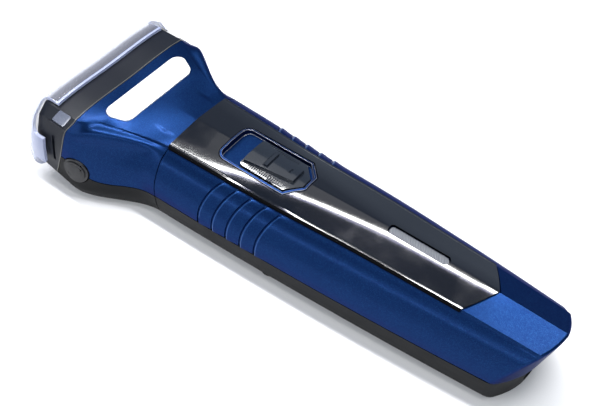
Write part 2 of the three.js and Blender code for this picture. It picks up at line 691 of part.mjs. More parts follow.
// Coil spring of round wire along +Z, as turns of a helix
function coil(radius, wire, turns, height) {
  const steps = Math.round(turns * 8);
  const points = Array.from({ length: steps + 1 }, (_, i) => {
    const angle = i / 8 * 2 * Math.PI;
    return new THREE.Vector3(Math.cos(angle) * radius, Math.sin(angle) * radius, height * i / steps);
  });
  const round = new THREE.Path().absarc(0, 0, wire, 0, 2 * Math.PI).getPoints(3);
  const section = new THREE.Shape(round.slice(0, -1));
  return new THREE.ExtrudeGeometry(section, {
    steps, bevelEnabled: false, extrudePath: new THREE.CatmullRomCurve3(points),
  });
}
const releaseSpring = (side) => alongY(coil(springRadius, 0.3, 4, 3.6), side)
  .translate(buttonX, side * (deckHalf + 0.6), buttonZ);

// ---- cutters ----------------------------------------------------------------------------------
const postTip = -31;
// The oscillating bridge: a slot for the drive pin, a plate, and a post for each cutter
function driveBridge() {
  const slotHalf = crankThrow + stroke + pinRadius + gap;
  const slotTall = 2.6;
  const box = block(bridgeX + 1, shaftTip - 2.6, -slotHalf - 1.6, slotHalf + 1.6,
    shaftHeight - slotTall - 1.6, shaftHeight + slotTall + 1.6);
  const slot = block(bridgeX + 2.4, 10, -slotHalf, slotHalf, shaftHeight - slotTall, shaftHeight + slotTall);
  const plate = block(bridgeX - 1, bridgeX + 1.2, -9, 9, foilHeights[0] - 3, foilHeights[1] + 2.4);
  const posts = foilHeights.map((z) => rod('x', 2.2, postTip, bridgeX, 0, z, 12));
  return union(box, plate, ...posts).subtract(slot);
}

const cutterRadius = foilRadius - foilThick - gap;
const cutterBack = foilCentre + 2.2;
const cutterHalf = foilHalf - 1.8 - stroke;
function cutterBlock(z) {
  const outline = [[cutterBack, z - 3.4], [foilCentre + 1, z - cutterRadius]];
  for (let i = 0; i <= 8; i++) {
    const angle = Math.PI * i / 8;
    outline.push([foilCentre - Math.sin(angle) * cutterRadius, z - Math.cos(angle) * cutterRadius]);
  }
  outline.push([foilCentre + 1, z + cutterRadius], [cutterBack, z + 3.4]);
  const bar = prism('y', outline, -cutterHalf, cutterHalf);
  const count = 10;
  const slots = Array.from({ length: count }, (_, i) => {
    const y = mix(-cutterHalf, cutterHalf, (i + 1) / (count + 1));
    return block(-60, foilCentre - 1, y - 0.5, y + 0.5, z - 8, z + 8);
  });
  return cutAll(bar, slots);
}
const cutterSpring = (z) => alongX(coil(1.7, 0.3, 3, postTip - gap - cutterBack - gap - 0.6))
  .translate(cutterBack + gap + 0.3, 0, z);

// ---- foil frame and cap -----------------------------------------------------------------------
// Outline of the frame and the cap at x: past the foils' centre it rounds over, level with the foils.
// Widen stretches it across the head.
function noseRing(x, grow, widen = 0) {
  const radius = foilRadius + capClear - gap + grow;
  const past = Math.max(0, foilCentre - x);
  const drop = radius - Math.sqrt(Math.max(0, radius * radius - past * past));
  const ring = outlineAt(Math.max(x, foilCentre), grow);
  const heights = ring.map((p) => p[2]);
  const top = Math.max(...heights);
  const middle = (top + Math.min(...heights)) / 2;
  const squeeze = 1 - drop / (top - middle);
  const stretch = 1 + (widen - 0.35 * drop) / headHalf;
  return ring.map(([, y, z]) => [x, y * stretch, middle + (z - middle) * squeeze]);
}
const noseForm = (stations, grow, widen) => loft(stations.map((x) => noseRing(x, grow, widen)));
const frameStations = [-22, -headLength, -30, -34.5, foilCentre, foilCentre - 1.6, -frameReach];
const frameHollow = [-18, -headLength, -30, -34.5, foilCentre, -frameReach + 2];
const frameWall = 1.8;

function foilArch(z, grow, thick) {
  const radius = foilRadius + grow;
  const arc = (r, flip) => Array.from({ length: 13 }, (_, i) => {
    const angle = Math.PI * (flip ? 12 - i : i) / 12;
    return [foilCentre - Math.sin(angle) * r, z - Math.cos(angle) * r];
  });
  const foot = foilCentre + 2.2 + grow;
  const outer = [[foot, z - radius], ...arc(radius, false), [foot, z + radius]];
  if (!thick) return outer;
  const within = radius - thick;
  return [...outer, [foot, z + within], ...arc(within, true), [foot, z - within]];
}
const foil = (z) => prism('y', foilArch(z, 0, foilThick), -foilHalf, foilHalf);

// Slanted light window in the facet at each end of the frame
function windowFacet(side, grow) {
  const from = -headLength - 2.3 + grow;
  const to = -headLength - 7.1 - grow;
  const inner = frameShape[2][0] * headHalf - grow;
  const outside = frameShape[3][0] * headHalf - 0.3 + grow;
  const slant = 1.4;
  const outline = [[from, inner], [from - slant, outside], [to - slant, outside], [to, inner]];
  const low = frameShape[3][1] * headDepth - 0.9 - grow;
  return prism('z', outline.map(([x, y]) => [x, side * y]), low, 40);
}
const frameWindow = (side) => windowFacet(side, 0)
  .intersect(noseForm(frameStations, 0.1))
  .subtract(noseForm(frameStations, -0.7));

const clipZ = [10.8, 19.6];      // clip slot for the cap in each end of the frame
function foilFrame() {
  const outer = noseForm(frameStations, 0).intersect(frameSide(-seamGap));
  const slots = foilHeights.map((z) =>
    prism('y', foilArch(z, gap, 0), -foilHalf - gap, foilHalf + gap));
  const sides = (from, to, inner, outside, low, high) =>
    [-1, 1].map((side) => block(from, to, ...span(side, inner, outside), low, high));
  const windows = [-1, 1].map((side) => windowFacet(side, 0.2).subtract(noseForm(frameStations, -1)));
  const clips = sides(-33.6, -32.6, headHalf - 2.6, headHalf + 9, ...clipZ);
  const latches = sides(-frameReach + 1, deckX + 0.8, foilHalf + 0.8, foilHalf + 2.4, 18.6, 21.6)
    .map((latch) => latch.intersect(noseForm([-18, ...frameStations.slice(1)], -frameWall - gap)));
  const shell = cutAll(outer.subtract(noseForm(frameHollow, -frameWall)), [...slots, ...windows, ...clips]);
  return union(shell, ...latches);
}

const tabZ = [10, 18.5];         // grip tab on each end of the cap
const tabReach = 35.2;
const capNotch = headHalf - 7.8; // the ends of the cap are cut back beyond this half width
function protectiveCap() {
  const outerGrow = gap + capWall;
  const nose = capReach + foilCentre;
  const bend = (depth) => [0, 0.4, 0.7, 0.9, 1].map((t) => foilCentre - t * depth);
  const outer = noseForm([-capRim, ...bend(nose)], outerGrow, capEase);
  const hollow = noseForm([-capRim + 8, -capRim, ...bend(nose - capWall)], gap, capEase);
  const notches = [[-frameReach, tabZ[1], 40], [-frameReach, -5, tabZ[0]], [-tabReach, -5, 40]]
    .flatMap(([from, low, high]) =>
      [-1, 1].map((side) => block(from, 0, ...span(side, capNotch, 45), low, high)));
  return cutAll(outer.subtract(hollow), notches);
}

// ---- finishes ---------------------------------------------------------------------------------
const finish = (color, roughness, metalness, extra = {}) =>
  new THREE.MeshStandardMaterial({ color, roughness, metalness, ...extra });
const blue = finish(0x1e3a8a, 0.35, 0.5);
const gloss = finish(0x0c0d12, 0.08, 0);
const charcoal = finish(0x33363f, 0.45, 0);
const grey = finish(0x2e3033, 0.5, 0);
const clear = finish(0xeef2fa, 0.05, 0, { transparent: true, opacity: 0.3 });
const steel = finish(0xc4c6c9, 0.25, 1);
const white = finish(0xf6f6f6, 0.6, 0);
const nickel = finish(0xb4b2ab, 0.35, 1);
const brass = finish(0xb08d4f, 0.3, 1);
const green = finish(0x1f6b3a, 0.6, 0);
const nylon = finish(0xdedbd0, 0.55, 0);
const wrap = finish(0x3d7a4d, 0.4, 0);

// ---- assembly ---------------------------------------------------------------------------------
const shaver = new THREE.Group();
shaver.name = 'electric_shaver';
function piece(name, shape, material) {
  const geometry = shape.isBufferGeometry ? shape : geometryOf(shape);
  const mesh = new THREE.Mesh(geometry, material);
  mesh.name = name;
  shaver.add(mesh);
}

piece('upper_shell', upperShell(), blue);
piece('lower_shell', lowerShell(), grey);
piece('fascia', fascia(), gloss);
piece('switch_bezel', switchBezel(), blue);
piece('charge_window', chargeWindow(), clear);
piece('circuit_board', circuitBoard(), green);
piece('charge_lamp', chargeLamp(), clear);
piece('slide_switch', slideSwitch(), nickel);
piece('battery_cell', batteryCell(), wrap);
piece('battery_cradle', batteryCradle(), nylon);
piece('battery_tab_front', batteryTab(cellStart - gap - 0.4), nickel);
piece('battery_tab_rear', batteryTab(cellStart + cellLength + gap), nickel);
piece('motor_can', motorCan(), steel);
piece('motor_bulkhead', motorBulkhead(), nylon);
piece('charging_socket', chargingSocket(), gloss);

piece('switch_button', switchButton(), gloss);
piece('switch_carrier', switchCarrier(), nylon);
piece('switch_knob', switchKnob(), nylon);

piece('motor_shaft', motorShaft(), steel);
piece('drive_crank', driveCrank(), brass);

piece('head_front_shell', headFrontShell(), blue);
piece('head_back_shell', headBackShell(), grey);
piece('label_plate', labelPlate(), white);
piece('neck_plug', neckPlug(), charcoal);
piece('head_deck', headDeck(), charcoal);

piece('drive_bridge', driveBridge(), nylon);
piece('foil_frame', foilFrame(), charcoal);
piece('protective_cap', protectiveCap(), clear);
foilHeights.forEach((z, i) => {
  const place = ['rear', 'front'][i];
  piece(`cutter_${place}`, cutterBlock(z), steel);
  piece(`cutter_spring_${place}`, cutterSpring(z), steel);
  piece(`foil_${place}`, foil(z), steel);
});
for (const [side, hand] of [[-1, 'right'], [1, 'left']]) {
  piece(`release_button_${hand}`, releaseButton(side), charcoal);
  piece(`release_spring_${hand}`, releaseSpring(side), steel);
  piece(`frame_window_${hand}`, frameWindow(side), clear);
  piece(`socket_pin_${hand}`, socketPin(side), brass);
  handleScrews.forEach(([x, y], i) =>
    piece(`handle_screw_${['middle', 'tail'][i]}_${hand}`, shellScrew(x, side * y, screwDepth, 13), steel));
  headScrews.forEach(([x, y]) =>
    piece(`head_screw_${hand}`, shellScrew(x, side * y, screwDepth, 12), steel));
}

// The model's own origin is the middle of its length, on the surface it lies on
shaver.position.x = -(handleLength - capReach) / 2;
export default shaver;
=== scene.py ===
import bmesh
import bpy
from math import ceil, cos, pi, radians, sin, sqrt
from mathutils import Matrix, Vector


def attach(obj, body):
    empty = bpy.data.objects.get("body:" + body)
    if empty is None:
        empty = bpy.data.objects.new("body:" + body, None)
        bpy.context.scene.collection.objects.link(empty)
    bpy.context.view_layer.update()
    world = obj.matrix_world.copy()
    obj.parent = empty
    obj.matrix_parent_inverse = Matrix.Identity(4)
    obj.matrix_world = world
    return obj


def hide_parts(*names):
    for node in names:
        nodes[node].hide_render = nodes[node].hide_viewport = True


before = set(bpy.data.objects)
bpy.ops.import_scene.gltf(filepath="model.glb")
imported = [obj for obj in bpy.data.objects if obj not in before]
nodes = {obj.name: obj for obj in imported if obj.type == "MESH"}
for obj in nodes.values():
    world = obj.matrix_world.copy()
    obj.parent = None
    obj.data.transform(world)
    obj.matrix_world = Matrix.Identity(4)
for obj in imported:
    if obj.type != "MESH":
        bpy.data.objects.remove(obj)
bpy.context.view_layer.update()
scene = bpy.context.scene
print("frame loaded:", len(nodes), "nodes")

# Every piece is modelled in millimetres, with x = 0 at the joint between the head and the handle.
# settle() scales the finished mesh to metres and moves it to the frame's own origin.
headJoint = -37.1
hands = ((-1, "right"), (1, "left"))


# numbers

def mix(a, b, t):
    return a + (b - a) * t


def ease(start, end, value):
    t = min(1, max(0, (value - start) / (end - start)))
    return t * t * (3 - 2 * t)


def steps(start, end, count):
    return [mix(start, end, i / count) for i in range(count + 1)]


def lookUp(points, at):  # smooth curve through [at, value] points, at rising
    at = min(points[-1][0], max(points[0][0], at))
    i = next(k for k in range(len(points) - 1) if at <= points[k + 1][0])
    (x0, v0), (x1, v1) = points[i], points[i + 1]
    before = points[i - 1] if i else points[i]
    after = points[i + 2] if i + 2 < len(points) else points[i + 1]
    span = x1 - x0
    m0 = (v1 - before[1]) / (x1 - before[0]) * span
    m1 = (after[1] - v0) / (after[0] - x0) * span
    t = (at - x0) / span
    return (v0 * (2 * t**3 - 3 * t * t + 1) + m0 * (t**3 - 2 * t * t + t)
            + v1 * (3 * t * t - 2 * t**3) + m1 * (t**3 - t * t))


# mesh tools

def formedGrid(rows, columns, place):  # a flat grid whose every crossing is put in place
    bm = bmesh.new()
    bmesh.ops.create_grid(bm, x_segments=len(rows) - 1, y_segments=len(columns) - 1, size=1)
    for vert in bm.verts:
        row = rows[round((vert.co.x + 1) / 2 * (len(rows) - 1))]
        column = columns[round((vert.co.y + 1) / 2 * (len(columns) - 1))]
        vert.co = place(row, column)
    bmesh.ops.remove_doubles(bm, verts=bm.verts, dist=0.004)
    return bm


def looseObject(bm):
    mesh = bpy.data.meshes.new("working")
    bm.to_mesh(mesh)
    bm.free()
    working = bpy.data.objects.new("working", mesh)
    scene.collection.objects.link(working)
    return working


def modified(bm, *changes):  # each change is a modifier's type and its settings
    working = [looseObject(bm)]
    for kind, settings in changes:
        modifier = working[0].modifiers.new(kind, kind)
        for name, value in settings.items():
            if isinstance(value, bmesh.types.BMesh):
                value = looseObject(value)
                working.append(value)
            setattr(modifier, name, value)
    result = bmesh.new()
    result.from_mesh(working[0].evaluated_get(bpy.context.evaluated_depsgraph_get()).data)
    for obj in working:
        bpy.data.meshes.remove(obj.data)
    return result


def thickened(bm, thickness, offset=-1):
    return modified(bm, ("SOLIDIFY", {"thickness": thickness, "offset": offset, "use_even_offset": False,
                                      "use_quality_normals": True}))


def joined(bm, kind, others):
    return modified(bm, *[("BOOLEAN", {"operation": kind, "solver": "MANIFOLD", "object": other})
                          for other in others])


def cut(bm, *others):
    return joined(bm, "DIFFERENCE", others)


def added(bm, *others):
    return joined(bm, "UNION", others)


def turnTo(bm, axis):  # a shape made along +Z is turned to lie along x, y, -y or z
    turn = {"x": Matrix.Rotation(pi / 2, 3, "Y"), "y": Matrix.Rotation(-pi / 2, 3, "X"),
            "-y": Matrix.Rotation(pi / 2, 3, "X"), "z": Matrix.Identity(3)}[axis]
    bmesh.ops.rotate(bm, cent=(0, 0, 0), matrix=turn, verts=bm.verts)


def disc(bm, radius, height, sides):
    made = bmesh.ops.create_circle(bm, cap_ends=False, radius=radius, segments=sides)["verts"]
    bmesh.ops.translate(bm, vec=(0, 0, height), verts=made)
    return [e for e in bm.edges if e.verts[0] in made and e.verts[1] in made]


def turned(profile, sides, axis="z", at=(0, 0, 0)):  # closed solid of [radius, height] rings
    bm = bmesh.new()
    rings = [disc(bm, radius, height, sides) for radius, height in profile]
    for lower, upper in zip(rings, rings[1:]):
        bmesh.ops.bridge_loops(bm, edges=lower + upper)
    for ring in (rings[0], rings[-1]):
        bmesh.ops.contextual_create(bm, geom=ring)
    bmesh.ops.recalc_face_normals(bm, faces=bm.faces)
    turnTo(bm, axis)
    bmesh.ops.translate(bm, vec=at, verts=bm.verts)
    return bm


def rod(radius, start, end, axis="z", at=(0, 0, 0), sides=40):
    return turned([(radius, start), (radius, end)], sides, axis, at)


def block(low, high):
    bm = bmesh.new()
    bmesh.ops.create_cube(bm, size=1)
    bmesh.ops.scale(bm, vec=[b - a for a, b in zip(low, high)], verts=bm.verts)
    bmesh.ops.translate(bm, vec=[(a + b) / 2 for a, b in zip(low, high)], verts=bm.verts)
    return bm


def rounded(bm, radius, segments=3, chosen=None):  # rounds the chosen edges, or all of them
    edges = [e for e in bm.edges if chosen is None or chosen(e)]
    bmesh.ops.bevel(bm, geom=edges, offset=radius, segments=segments, profile=0.5, affect="EDGES",
                    material=-1, clamp_overlap=True)
    return bm


def upright(edge):
    return abs(edge.verts[0].co.z - edge.verts[1].co.z) > 1e-4


def lengthwise(edge):
    return abs(edge.verts[0].co.x - edge.verts[1].co.x) > 1


def drawnOut(points, along):  # a closed outline of points, extruded into a solid
    bm = bmesh.new()
    face = bm.faces.new([bm.verts.new(point) for point in points])
    drawn = bmesh.ops.extrude_face_region(bm, geom=[face])["geom"]
    bmesh.ops.translate(bm, vec=along, verts=[v for v in drawn if isinstance(v, bmesh.types.BMVert)])
    bmesh.ops.recalc_face_normals(bm, faces=bm.faces)
    return bm


def slab(outline, low, high, corners=0, segments=4):  # outline of (x, y) points raised along z
    bm = drawnOut([(x, y, low) for x, y in outline], (0, 0, high - low))
    if corners:
        rounded(bm, corners, segments, upright)
    return bm


def settle(bm, name, body, material, replaced=(), bevel=0.2, segments=2, angle=48, sharp=26,
           second=None, chosen=None, edges=None):
    bmesh.ops.scale(bm, vec=(0.001, 0.001, 0.001), verts=bm.verts)
    bmesh.ops.translate(bm, vec=(headJoint / 1000, 0, 0), verts=bm.verts)
    mesh = bpy.data.meshes.new(name)
    bm.to_mesh(mesh)
    bm.free()
    mesh.shade_smooth()
    mesh.set_sharp_from_angle(angle=radians(sharp))
    mesh.materials.append(material)
    # the picked faces take a painted highlight or a painted shade
    if second:  # faces picked by their normal and middle may have a finish of their own
        mesh.materials.append(second)
        for face in mesh.polygons:
            if chosen(face.normal, face.center * 1000):
                face.material_index = 1
    piece = bpy.data.objects.new(name, mesh)
    scene.collection.objects.link(piece)
    if bevel:
        edge = piece.modifiers.new("edges", "BEVEL")
        # the edge faces take a material of their own: a painted edge highlight
        if edges:  # and so may the narrow faces along its edges
            edge.material = len(mesh.materials)
            mesh.materials.append(edges)
        edge.width = bevel / 1000
        edge.segments = segments
        edge.limit_method = "ANGLE"
        edge.angle_limit = radians(angle)
        edge.miter_outer = "MITER_ARC"
    shading = piece.modifiers.new("shading", "WEIGHTED_NORMAL")
    shading.keep_sharp = True
    shading.weight = 60
    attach(piece, body)
    if replaced:
        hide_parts(*replaced)
    return piece


# the body's form

form = {
    "length": 118.2, "neckHalf": 20.3, "waistHalf": 17.7, "tailHalf": 12.6,
    "neckRidge": 25.3, "crownRidge": 26.8, "tailRidge": 26.05, "spineNeck": 12.0, "spineTail": 7.35,
    "spineStep": 0.95, "stepOut": 0.5, "headStep": (0.2, 0.9), "plateau": 8.5, "plateauEnd": 69,
    "plateauLean": 0.07, "facetStart": 0.15, "facetBend": 3.6, "shelf": 0.13, "ledge": 0.34,
    "tailBow": 0.034, "tailLean": 0.24,
    "tailFoot": 1.4, "tailRound": 0.8, "headHalf": 29.3, "headDepth": 26.9, "headLength": 26,
    "frameReach": 40, "frameRise": 5, "seam": 10, "seamGap": 0.3, "wall": 1.6,
    "side": [(0.27, 1.75), (0.48, 3.0), (0.67, 5.2), (0.87, 8.2), (0.975, 11.2)],
    "skirt": [(1, 0.95), (0.955, 0.45), (0.8, 0.12), (0.6, 0)],
    "frameShape": [(0, 1), (0.67, 0.995), (0.759, 0.978), (0.861, 0.859), (0.894, 0.76), (0.932, 0.625),
                   (0.953, 0.506), (0.97, 0.372), (0.984, 0.242), (1, 0.15), (0.96, 0.05),
                   (0.86, 0.008), (0, 0.008)],
    "flareStart": [0, -2, -2, 1, 3, 4, 4, 3, 2, 0, 0, 0, 0],
    "seamLine": [(-45, 13.2), (-27, 13.2), (-20, 9), (-15.5, 8.3), (-10, 8.8), (-4, 9.5), (0, 9.8),
                 (4, 10), (130, 10)],
    "frameJoint": [(-5, 9.5), (6.2, 6.4), (13.7, 4.1), (17.2, 3.3), (22.8, 2.3), (26.3, 0.3), (45, 0)],
}


def ridge(x):
    share = x / form["length"]
    climb = (form["crownRidge"] - form["neckRidge"]) * ease(0.17, 0.57, share)
    past = max(0, share - 0.68) / 0.32
    return form["neckRidge"] + climb - (form["crownRidge"] - form["tailRidge"]) * past * past


def spineHalf(x):
    return mix(form["spineNeck"], form["spineTail"], x / form["length"])


def roofDrop(x):
    return mix(1.8, 2.75, x / form["length"]) - 0.75 * (1 - ease(12, 40, x))


def sideHalf(x):
    t = x / form["length"]
    return (form["neckHalf"] * (1 - t) * (1 - 2 * t) + form["waistHalf"] * 4 * t * (1 - t)
            + form["tailHalf"] * t * (2 * t - 1))


def handleCorners(x):  # half outline from the ridge round to the middle of the back, as (y, z)
    spine = spineHalf(x)
    spread = sideHalf(x) - spine
    edge = ridge(x) - roofDrop(x)
    return [Vector(p) for p in [
        (0, ridge(x)), (spine, edge), (spine + form["stepOut"], edge - form["spineStep"]),
        *[(spine + out * spread, edge - drop) for out, drop in form["side"]],
        *[(spine + out * spread, up * form["seam"]) for out, up in form["skirt"]], (0, 0)]]


def headCorners(x):
    neck = handleCorners(0)
    out = max(0, -x - form["headLength"]) / (form["frameReach"] - form["headLength"])
    lift = ease(0, form["headLength"] - 2, -x)
    corners = []
    for (across, up), start, (neckY, neckZ) in zip(form["frameShape"], form["flareStart"], neck):
        flare = ease(start, form["headLength"] + 1.5, -x)
        y = mix(neckY, across * form["headHalf"], flare)
        z = mix(neckZ, up * form["headDepth"], lift)
        corners.append(Vector((y, z + form["frameRise"] * out * (1 - z / form["headDepth"]))))
    into = -x / form["headLength"]  # the spine's step runs on as a thin crease and dies away
    drop = form["headStep"][1] * (1 - 0.85 * ease(0.15, 0.7, into))
    ledge = corners[1] + Vector((form["headStep"][0], -drop))
    corners[2] = corners[2].lerp(ledge, 1 - ease(0.72, 0.98, into))
    level = corners[2].y - form["shelf"] * (corners[3].x - corners[2].x)  # a shelf lies below the crease
    corners[3].y = mix(corners[3].y, level, ease(-26, -19, x) * (1 - ease(-5, 0, x)))
    return corners


def cornersAt(x):
    return headCorners(x) if x < 0 else handleCorners(x)


def creasesAt(x):  # how sharp each corner of the outline is, from 0 to 1
    into = -x / form["headLength"]
    creases = [0] * 13
    creases[0] = 1 - ease(0, 0.35, into)
    creases[1] = 1 - 0.75 * ease(0.4, 0.9, into)
    creases[2] = 1 - 0.8 * ease(0.3, 0.9, into)
    for k, sharp in ((2, 1), (3, 1), (5, 0.9), (6, 0.5), (9, 0.9), (10, 0.6), (11, 0.9)):
        creases[k] = mix(creases[k], sharp, ease(0.86, 1.03, into))
    return creases


def curvePoint(corners, creases, s):  # smooth curve through the corners, creased where it is asked
    leg = min(int(s), len(corners) - 2)
    t = s - leg
    chord = corners[leg + 1] - corners[leg]

    def heading(k):
        own = chord.normalized()
        if k == 0:
            smooth = Vector((1, 0))
        elif k >= len(corners) - 2:
            return Vector((-1, 0))
        else:
            before = corners[k] - corners[k - 1]
            after = corners[k + 1] - corners[k]
            smooth = (before.normalized() * after.length + after.normalized() * before.length).normalized()
        return smooth.lerp(own, creases[k]).normalized()

    first, last = heading(leg) * chord.length, heading(leg + 1) * chord.length
    return (corners[leg] * (2 * t**3 - 3 * t * t + 1) + first * (t**3 - 2 * t * t + t)
            + corners[leg + 1] * (3 * t * t - 2 * t**3) + last * (t**3 - t * t))


def roofBulge(x, corners, s):
    # the spine's roof has a plateau that narrows to nothing, and facets that start shallow beside it
    half, fall = corners[1].x, corners[0].y - corners[1].y
    plateau = form["plateau"] * max(0, 1 - max(0, x) / form["plateauEnd"])
    beside, run = s * half - plateau, half - plateau
    if beside < 0:
        return fall * s - form["plateauLean"] * s * half
    left = fall - form["plateauLean"] * plateau
    start = mix(0.1, form["facetStart"], ease(34, 46, x))
    bend = mix(run, form["facetBend"], ease(34, 46, x))
    later = (left - start * bend / 2) / (run - bend / 2)
    near = min(bend, beside)
    bent = start * near + (later - start) * near * near / (2 * bend) + later * (beside - near)
    ledge = form["ledge"] * ease(0, 0.5, beside) * (1 - beside / run)
    ledge = ledge * ease(-10, -7, x) * (1 - ease(-3.4, -1.8, x))
    return fall * s - form["plateauLean"] * plateau - mix(bent, left * beside / run, ease(95, 104, x)) - ledge


def outlinePoint(x, s):
    corners, creases = cornersAt(x), creasesAt(x)
    point = curvePoint(corners, creases, s)
    if 0 < s < 1 and x > -10:
        point.y += roofBulge(x, corners, s) * ease(-10, -1, x)
    return point


def outward(x, s):  # the outline's normal, as (y, z)
    along = outlinePoint(x, min(11.999, s + 0.02)) - outlinePoint(x, max(0, s - 0.02))
    return Vector((-along.y, along.x)).normalized()


def drawnIn(point, inset, towards):  # moves an outline point towards the middle at a height
    return point + (Vector((0, towards)) - point).normalized() * inset


def stationAt(x, height):  # where the outline's side passes a height
    corners = cornersAt(x)
    for k in range(3, 11):
        if corners[k + 1].y <= height <= corners[k].y:
            s = k + (corners[k].y - height) / (corners[k].y - corners[k + 1].y)
            for _ in range(4):  # settle on the curve, which isn't its own chord
                miss = outlinePoint(x, s).y - height
                s += miss / (corners[k].y - corners[k + 1].y)
            return min(11, max(3, s))
    return 3


def shareStation(x, first, last, share):  # the station at a share of the way between two others
    corners = cornersAt(x)
    stops = [first, *range(int(first) + 1, ceil(last)), last]
    spots = [corners[min(int(s), 11)].lerp(corners[min(int(s), 11) + 1], s - min(int(s), 11)) for s in stops]
    lengths = [(b - a).length for a, b in zip(spots, spots[1:])]
    left = share * sum(lengths)
    for i, length in enumerate(lengths):
        if left <= length or i == len(lengths) - 1:
            return mix(stops[i], stops[i + 1], min(1, left / length))
        left -= length


def tailEnd(y, z, inset=0):
    lean = form["tailLean"] * (form["tailRidge"] - max(z, form["seam"]))
    foot = form["tailFoot"] * max(0, 1 - z / form["seam"])
    return form["length"] - inset - lean - foot - form["tailBow"] * y * y


def seamAt(x):
    return lookUp(form["seamLine"], x)


def jointAt(z):
    return -form["headLength"] - lookUp(form["frameJoint"], z)


# finishes: the groups read Object coordinates in metres and give back colours, masks, values and heights

def nodeGroup(name, inputs, outputs):  # inputs and outputs as {socket name: (kind, default)}
    group = bpy.data.node_groups.new(name, "ShaderNodeTree")
    for direction, sockets in (("INPUT", inputs), ("OUTPUT", outputs)):
        for label, (kind, default) in sockets.items():
            socket = group.interface.new_socket(label, in_out=direction, socket_type="NodeSocket" + kind)
            if default is not None:
                socket.default_value = default
    return group, group.nodes.new("NodeGroupInput"), group.nodes.new("NodeGroupOutput")


def node(tree, kind, settings=None, **values):  # settings are the node's own, values its sockets
    made = tree.nodes.new("ShaderNode" + kind)
    for key, value in (settings or {}).items():
        setattr(made, key, value)
    for key, value in values.items():
        socket = made.inputs[int(key[1:])] if key[0] == "n" and key[1:].isdigit() else made.inputs[key]
        if isinstance(value, bpy.types.NodeSocket):
            tree.links.new(value, socket)
        else:
            socket.default_value = value
    return made


def math(tree, operation, a, b=0.0, clamp=False):
    return node(tree, "Math", {"operation": operation, "use_clamp": clamp}, n0=a, n1=b).outputs[0]


def objectPlace(tree, scale=(1, 1, 1)):
    place = node(tree, "TexCoord").outputs["Object"]
    return node(tree, "Mapping", Vector=place, Scale=scale).outputs[0]


def noiseOf(tree, scale, detail=2.0, place=None):
    place = place or objectPlace(tree)
    return node(tree, "TexNoise", Vector=place, Scale=scale, Detail=detail).outputs["Fac"]


# a colour that drifts a little over the surface, with fine flakes in it
flakes, given, made = nodeGroup("paintFlakes", {
    "Color": ("Color", (0.5, 0.5, 0.5, 1)), "Flake Color": ("Color", (1, 1, 1, 1)),
    "Flake Share": ("Float", 0.1), "Drift": ("Float", 0.1), "Roughness": ("Float", 0.4)},
    {"Color": ("Color", None), "Roughness": ("Float", None), "Height": ("Float", None)})
cells = node(flakes, "TexVoronoi", Vector=objectPlace(flakes), Scale=9000.0)
spark = node(flakes, "SeparateColor", Color=cells.outputs["Color"]).outputs[0]
chosen = math(flakes, "MULTIPLY", math(flakes, "POWER", spark, 3.0), given.outputs["Flake Share"])
broad = math(flakes, "MULTIPLY", math(flakes, "SUBTRACT", noiseOf(flakes, 60.0), 0.5), given.outputs["Drift"])
tinted = node(flakes, "Mix", {"data_type": "RGBA"}, n0=chosen, n6=given.outputs["Color"],
              n7=given.outputs["Flake Color"])
drifted = node(flakes, "HueSaturation", Color=tinted.outputs[2], Value=math(flakes, "ADD", 1.0, broad))
flakes.links.new(drifted.outputs[0], made.inputs["Color"])
rough = math(flakes, "ADD", given.outputs["Roughness"], math(flakes, "MULTIPLY", broad, 0.4))
flakes.links.new(rough, made.inputs["Roughness"])
flakes.links.new(noiseOf(flakes, 2600.0), made.inputs["Height"])

# moulded plastic: a fine leathery grain and worn spots that are a little smoother
moulded, given, made = nodeGroup("mouldedGrain", {
    "Color": ("Color", (0.5, 0.5, 0.5, 1)), "Roughness": ("Float", 0.5), "Wear": ("Float", 0.1),
    "Grain Scale": ("Float", 3000.0)},
    {"Color": ("Color", None), "Roughness": ("Float", None), "Height": ("Float", None)})
wear = math(moulded, "SUBTRACT", noiseOf(moulded, 90.0, 4.0), 0.5)
lighter = node(moulded, "HueSaturation", Color=given.outputs["Color"],
               Value=math(moulded, "ADD", 1.0, math(moulded, "MULTIPLY", wear, given.outputs["Wear"])))
moulded.links.new(lighter.outputs[0], made.inputs["Color"])
moulded.links.new(math(moulded, "ADD", given.outputs["Roughness"],
                       math(moulded, "MULTIPLY", wear, given.outputs["Wear"])), made.inputs["Roughness"])
moulded.links.new(noiseOf(moulded, given.outputs["Grain Scale"], 3.0), made.inputs["Height"])

# smudges left by fingers on a polished face, and the slight waviness of the moulding
smudged, given, made = nodeGroup("smudges", {
    "Roughness": ("Float", 0.05), "Smudge": ("Float", 0.1), "Wave Scale": ("Float", 110.0),
    "Strands": ("Float", 0.3)},
    {"Roughness": ("Float", None), "Height": ("Float", None), "Mask": ("Float", None)})
fingered = node(smudged, "MapRange", {"clamp": True}, n0=noiseOf(smudged, 150.0, 5.0), n1=0.5, n2=0.72,
                n3=0.0, n4=1.0)
smudged.links.new(math(smudged, "ADD", given.outputs["Roughness"],
                       math(smudged, "MULTIPLY", fingered.outputs[0], given.outputs["Smudge"])),
                  made.inputs["Roughness"])
smudged.links.new(fingered.outputs[0], made.inputs["Mask"])
strands = noiseOf(smudged, 1.0, 1.0, objectPlace(smudged, (60, 1100, 1100)))
smudged.links.new(math(smudged, "ADD", noiseOf(smudged, given.outputs["Wave Scale"], 1.0),
                       math(smudged, "MULTIPLY", strands, given.outputs["Strands"])), made.inputs["Height"])

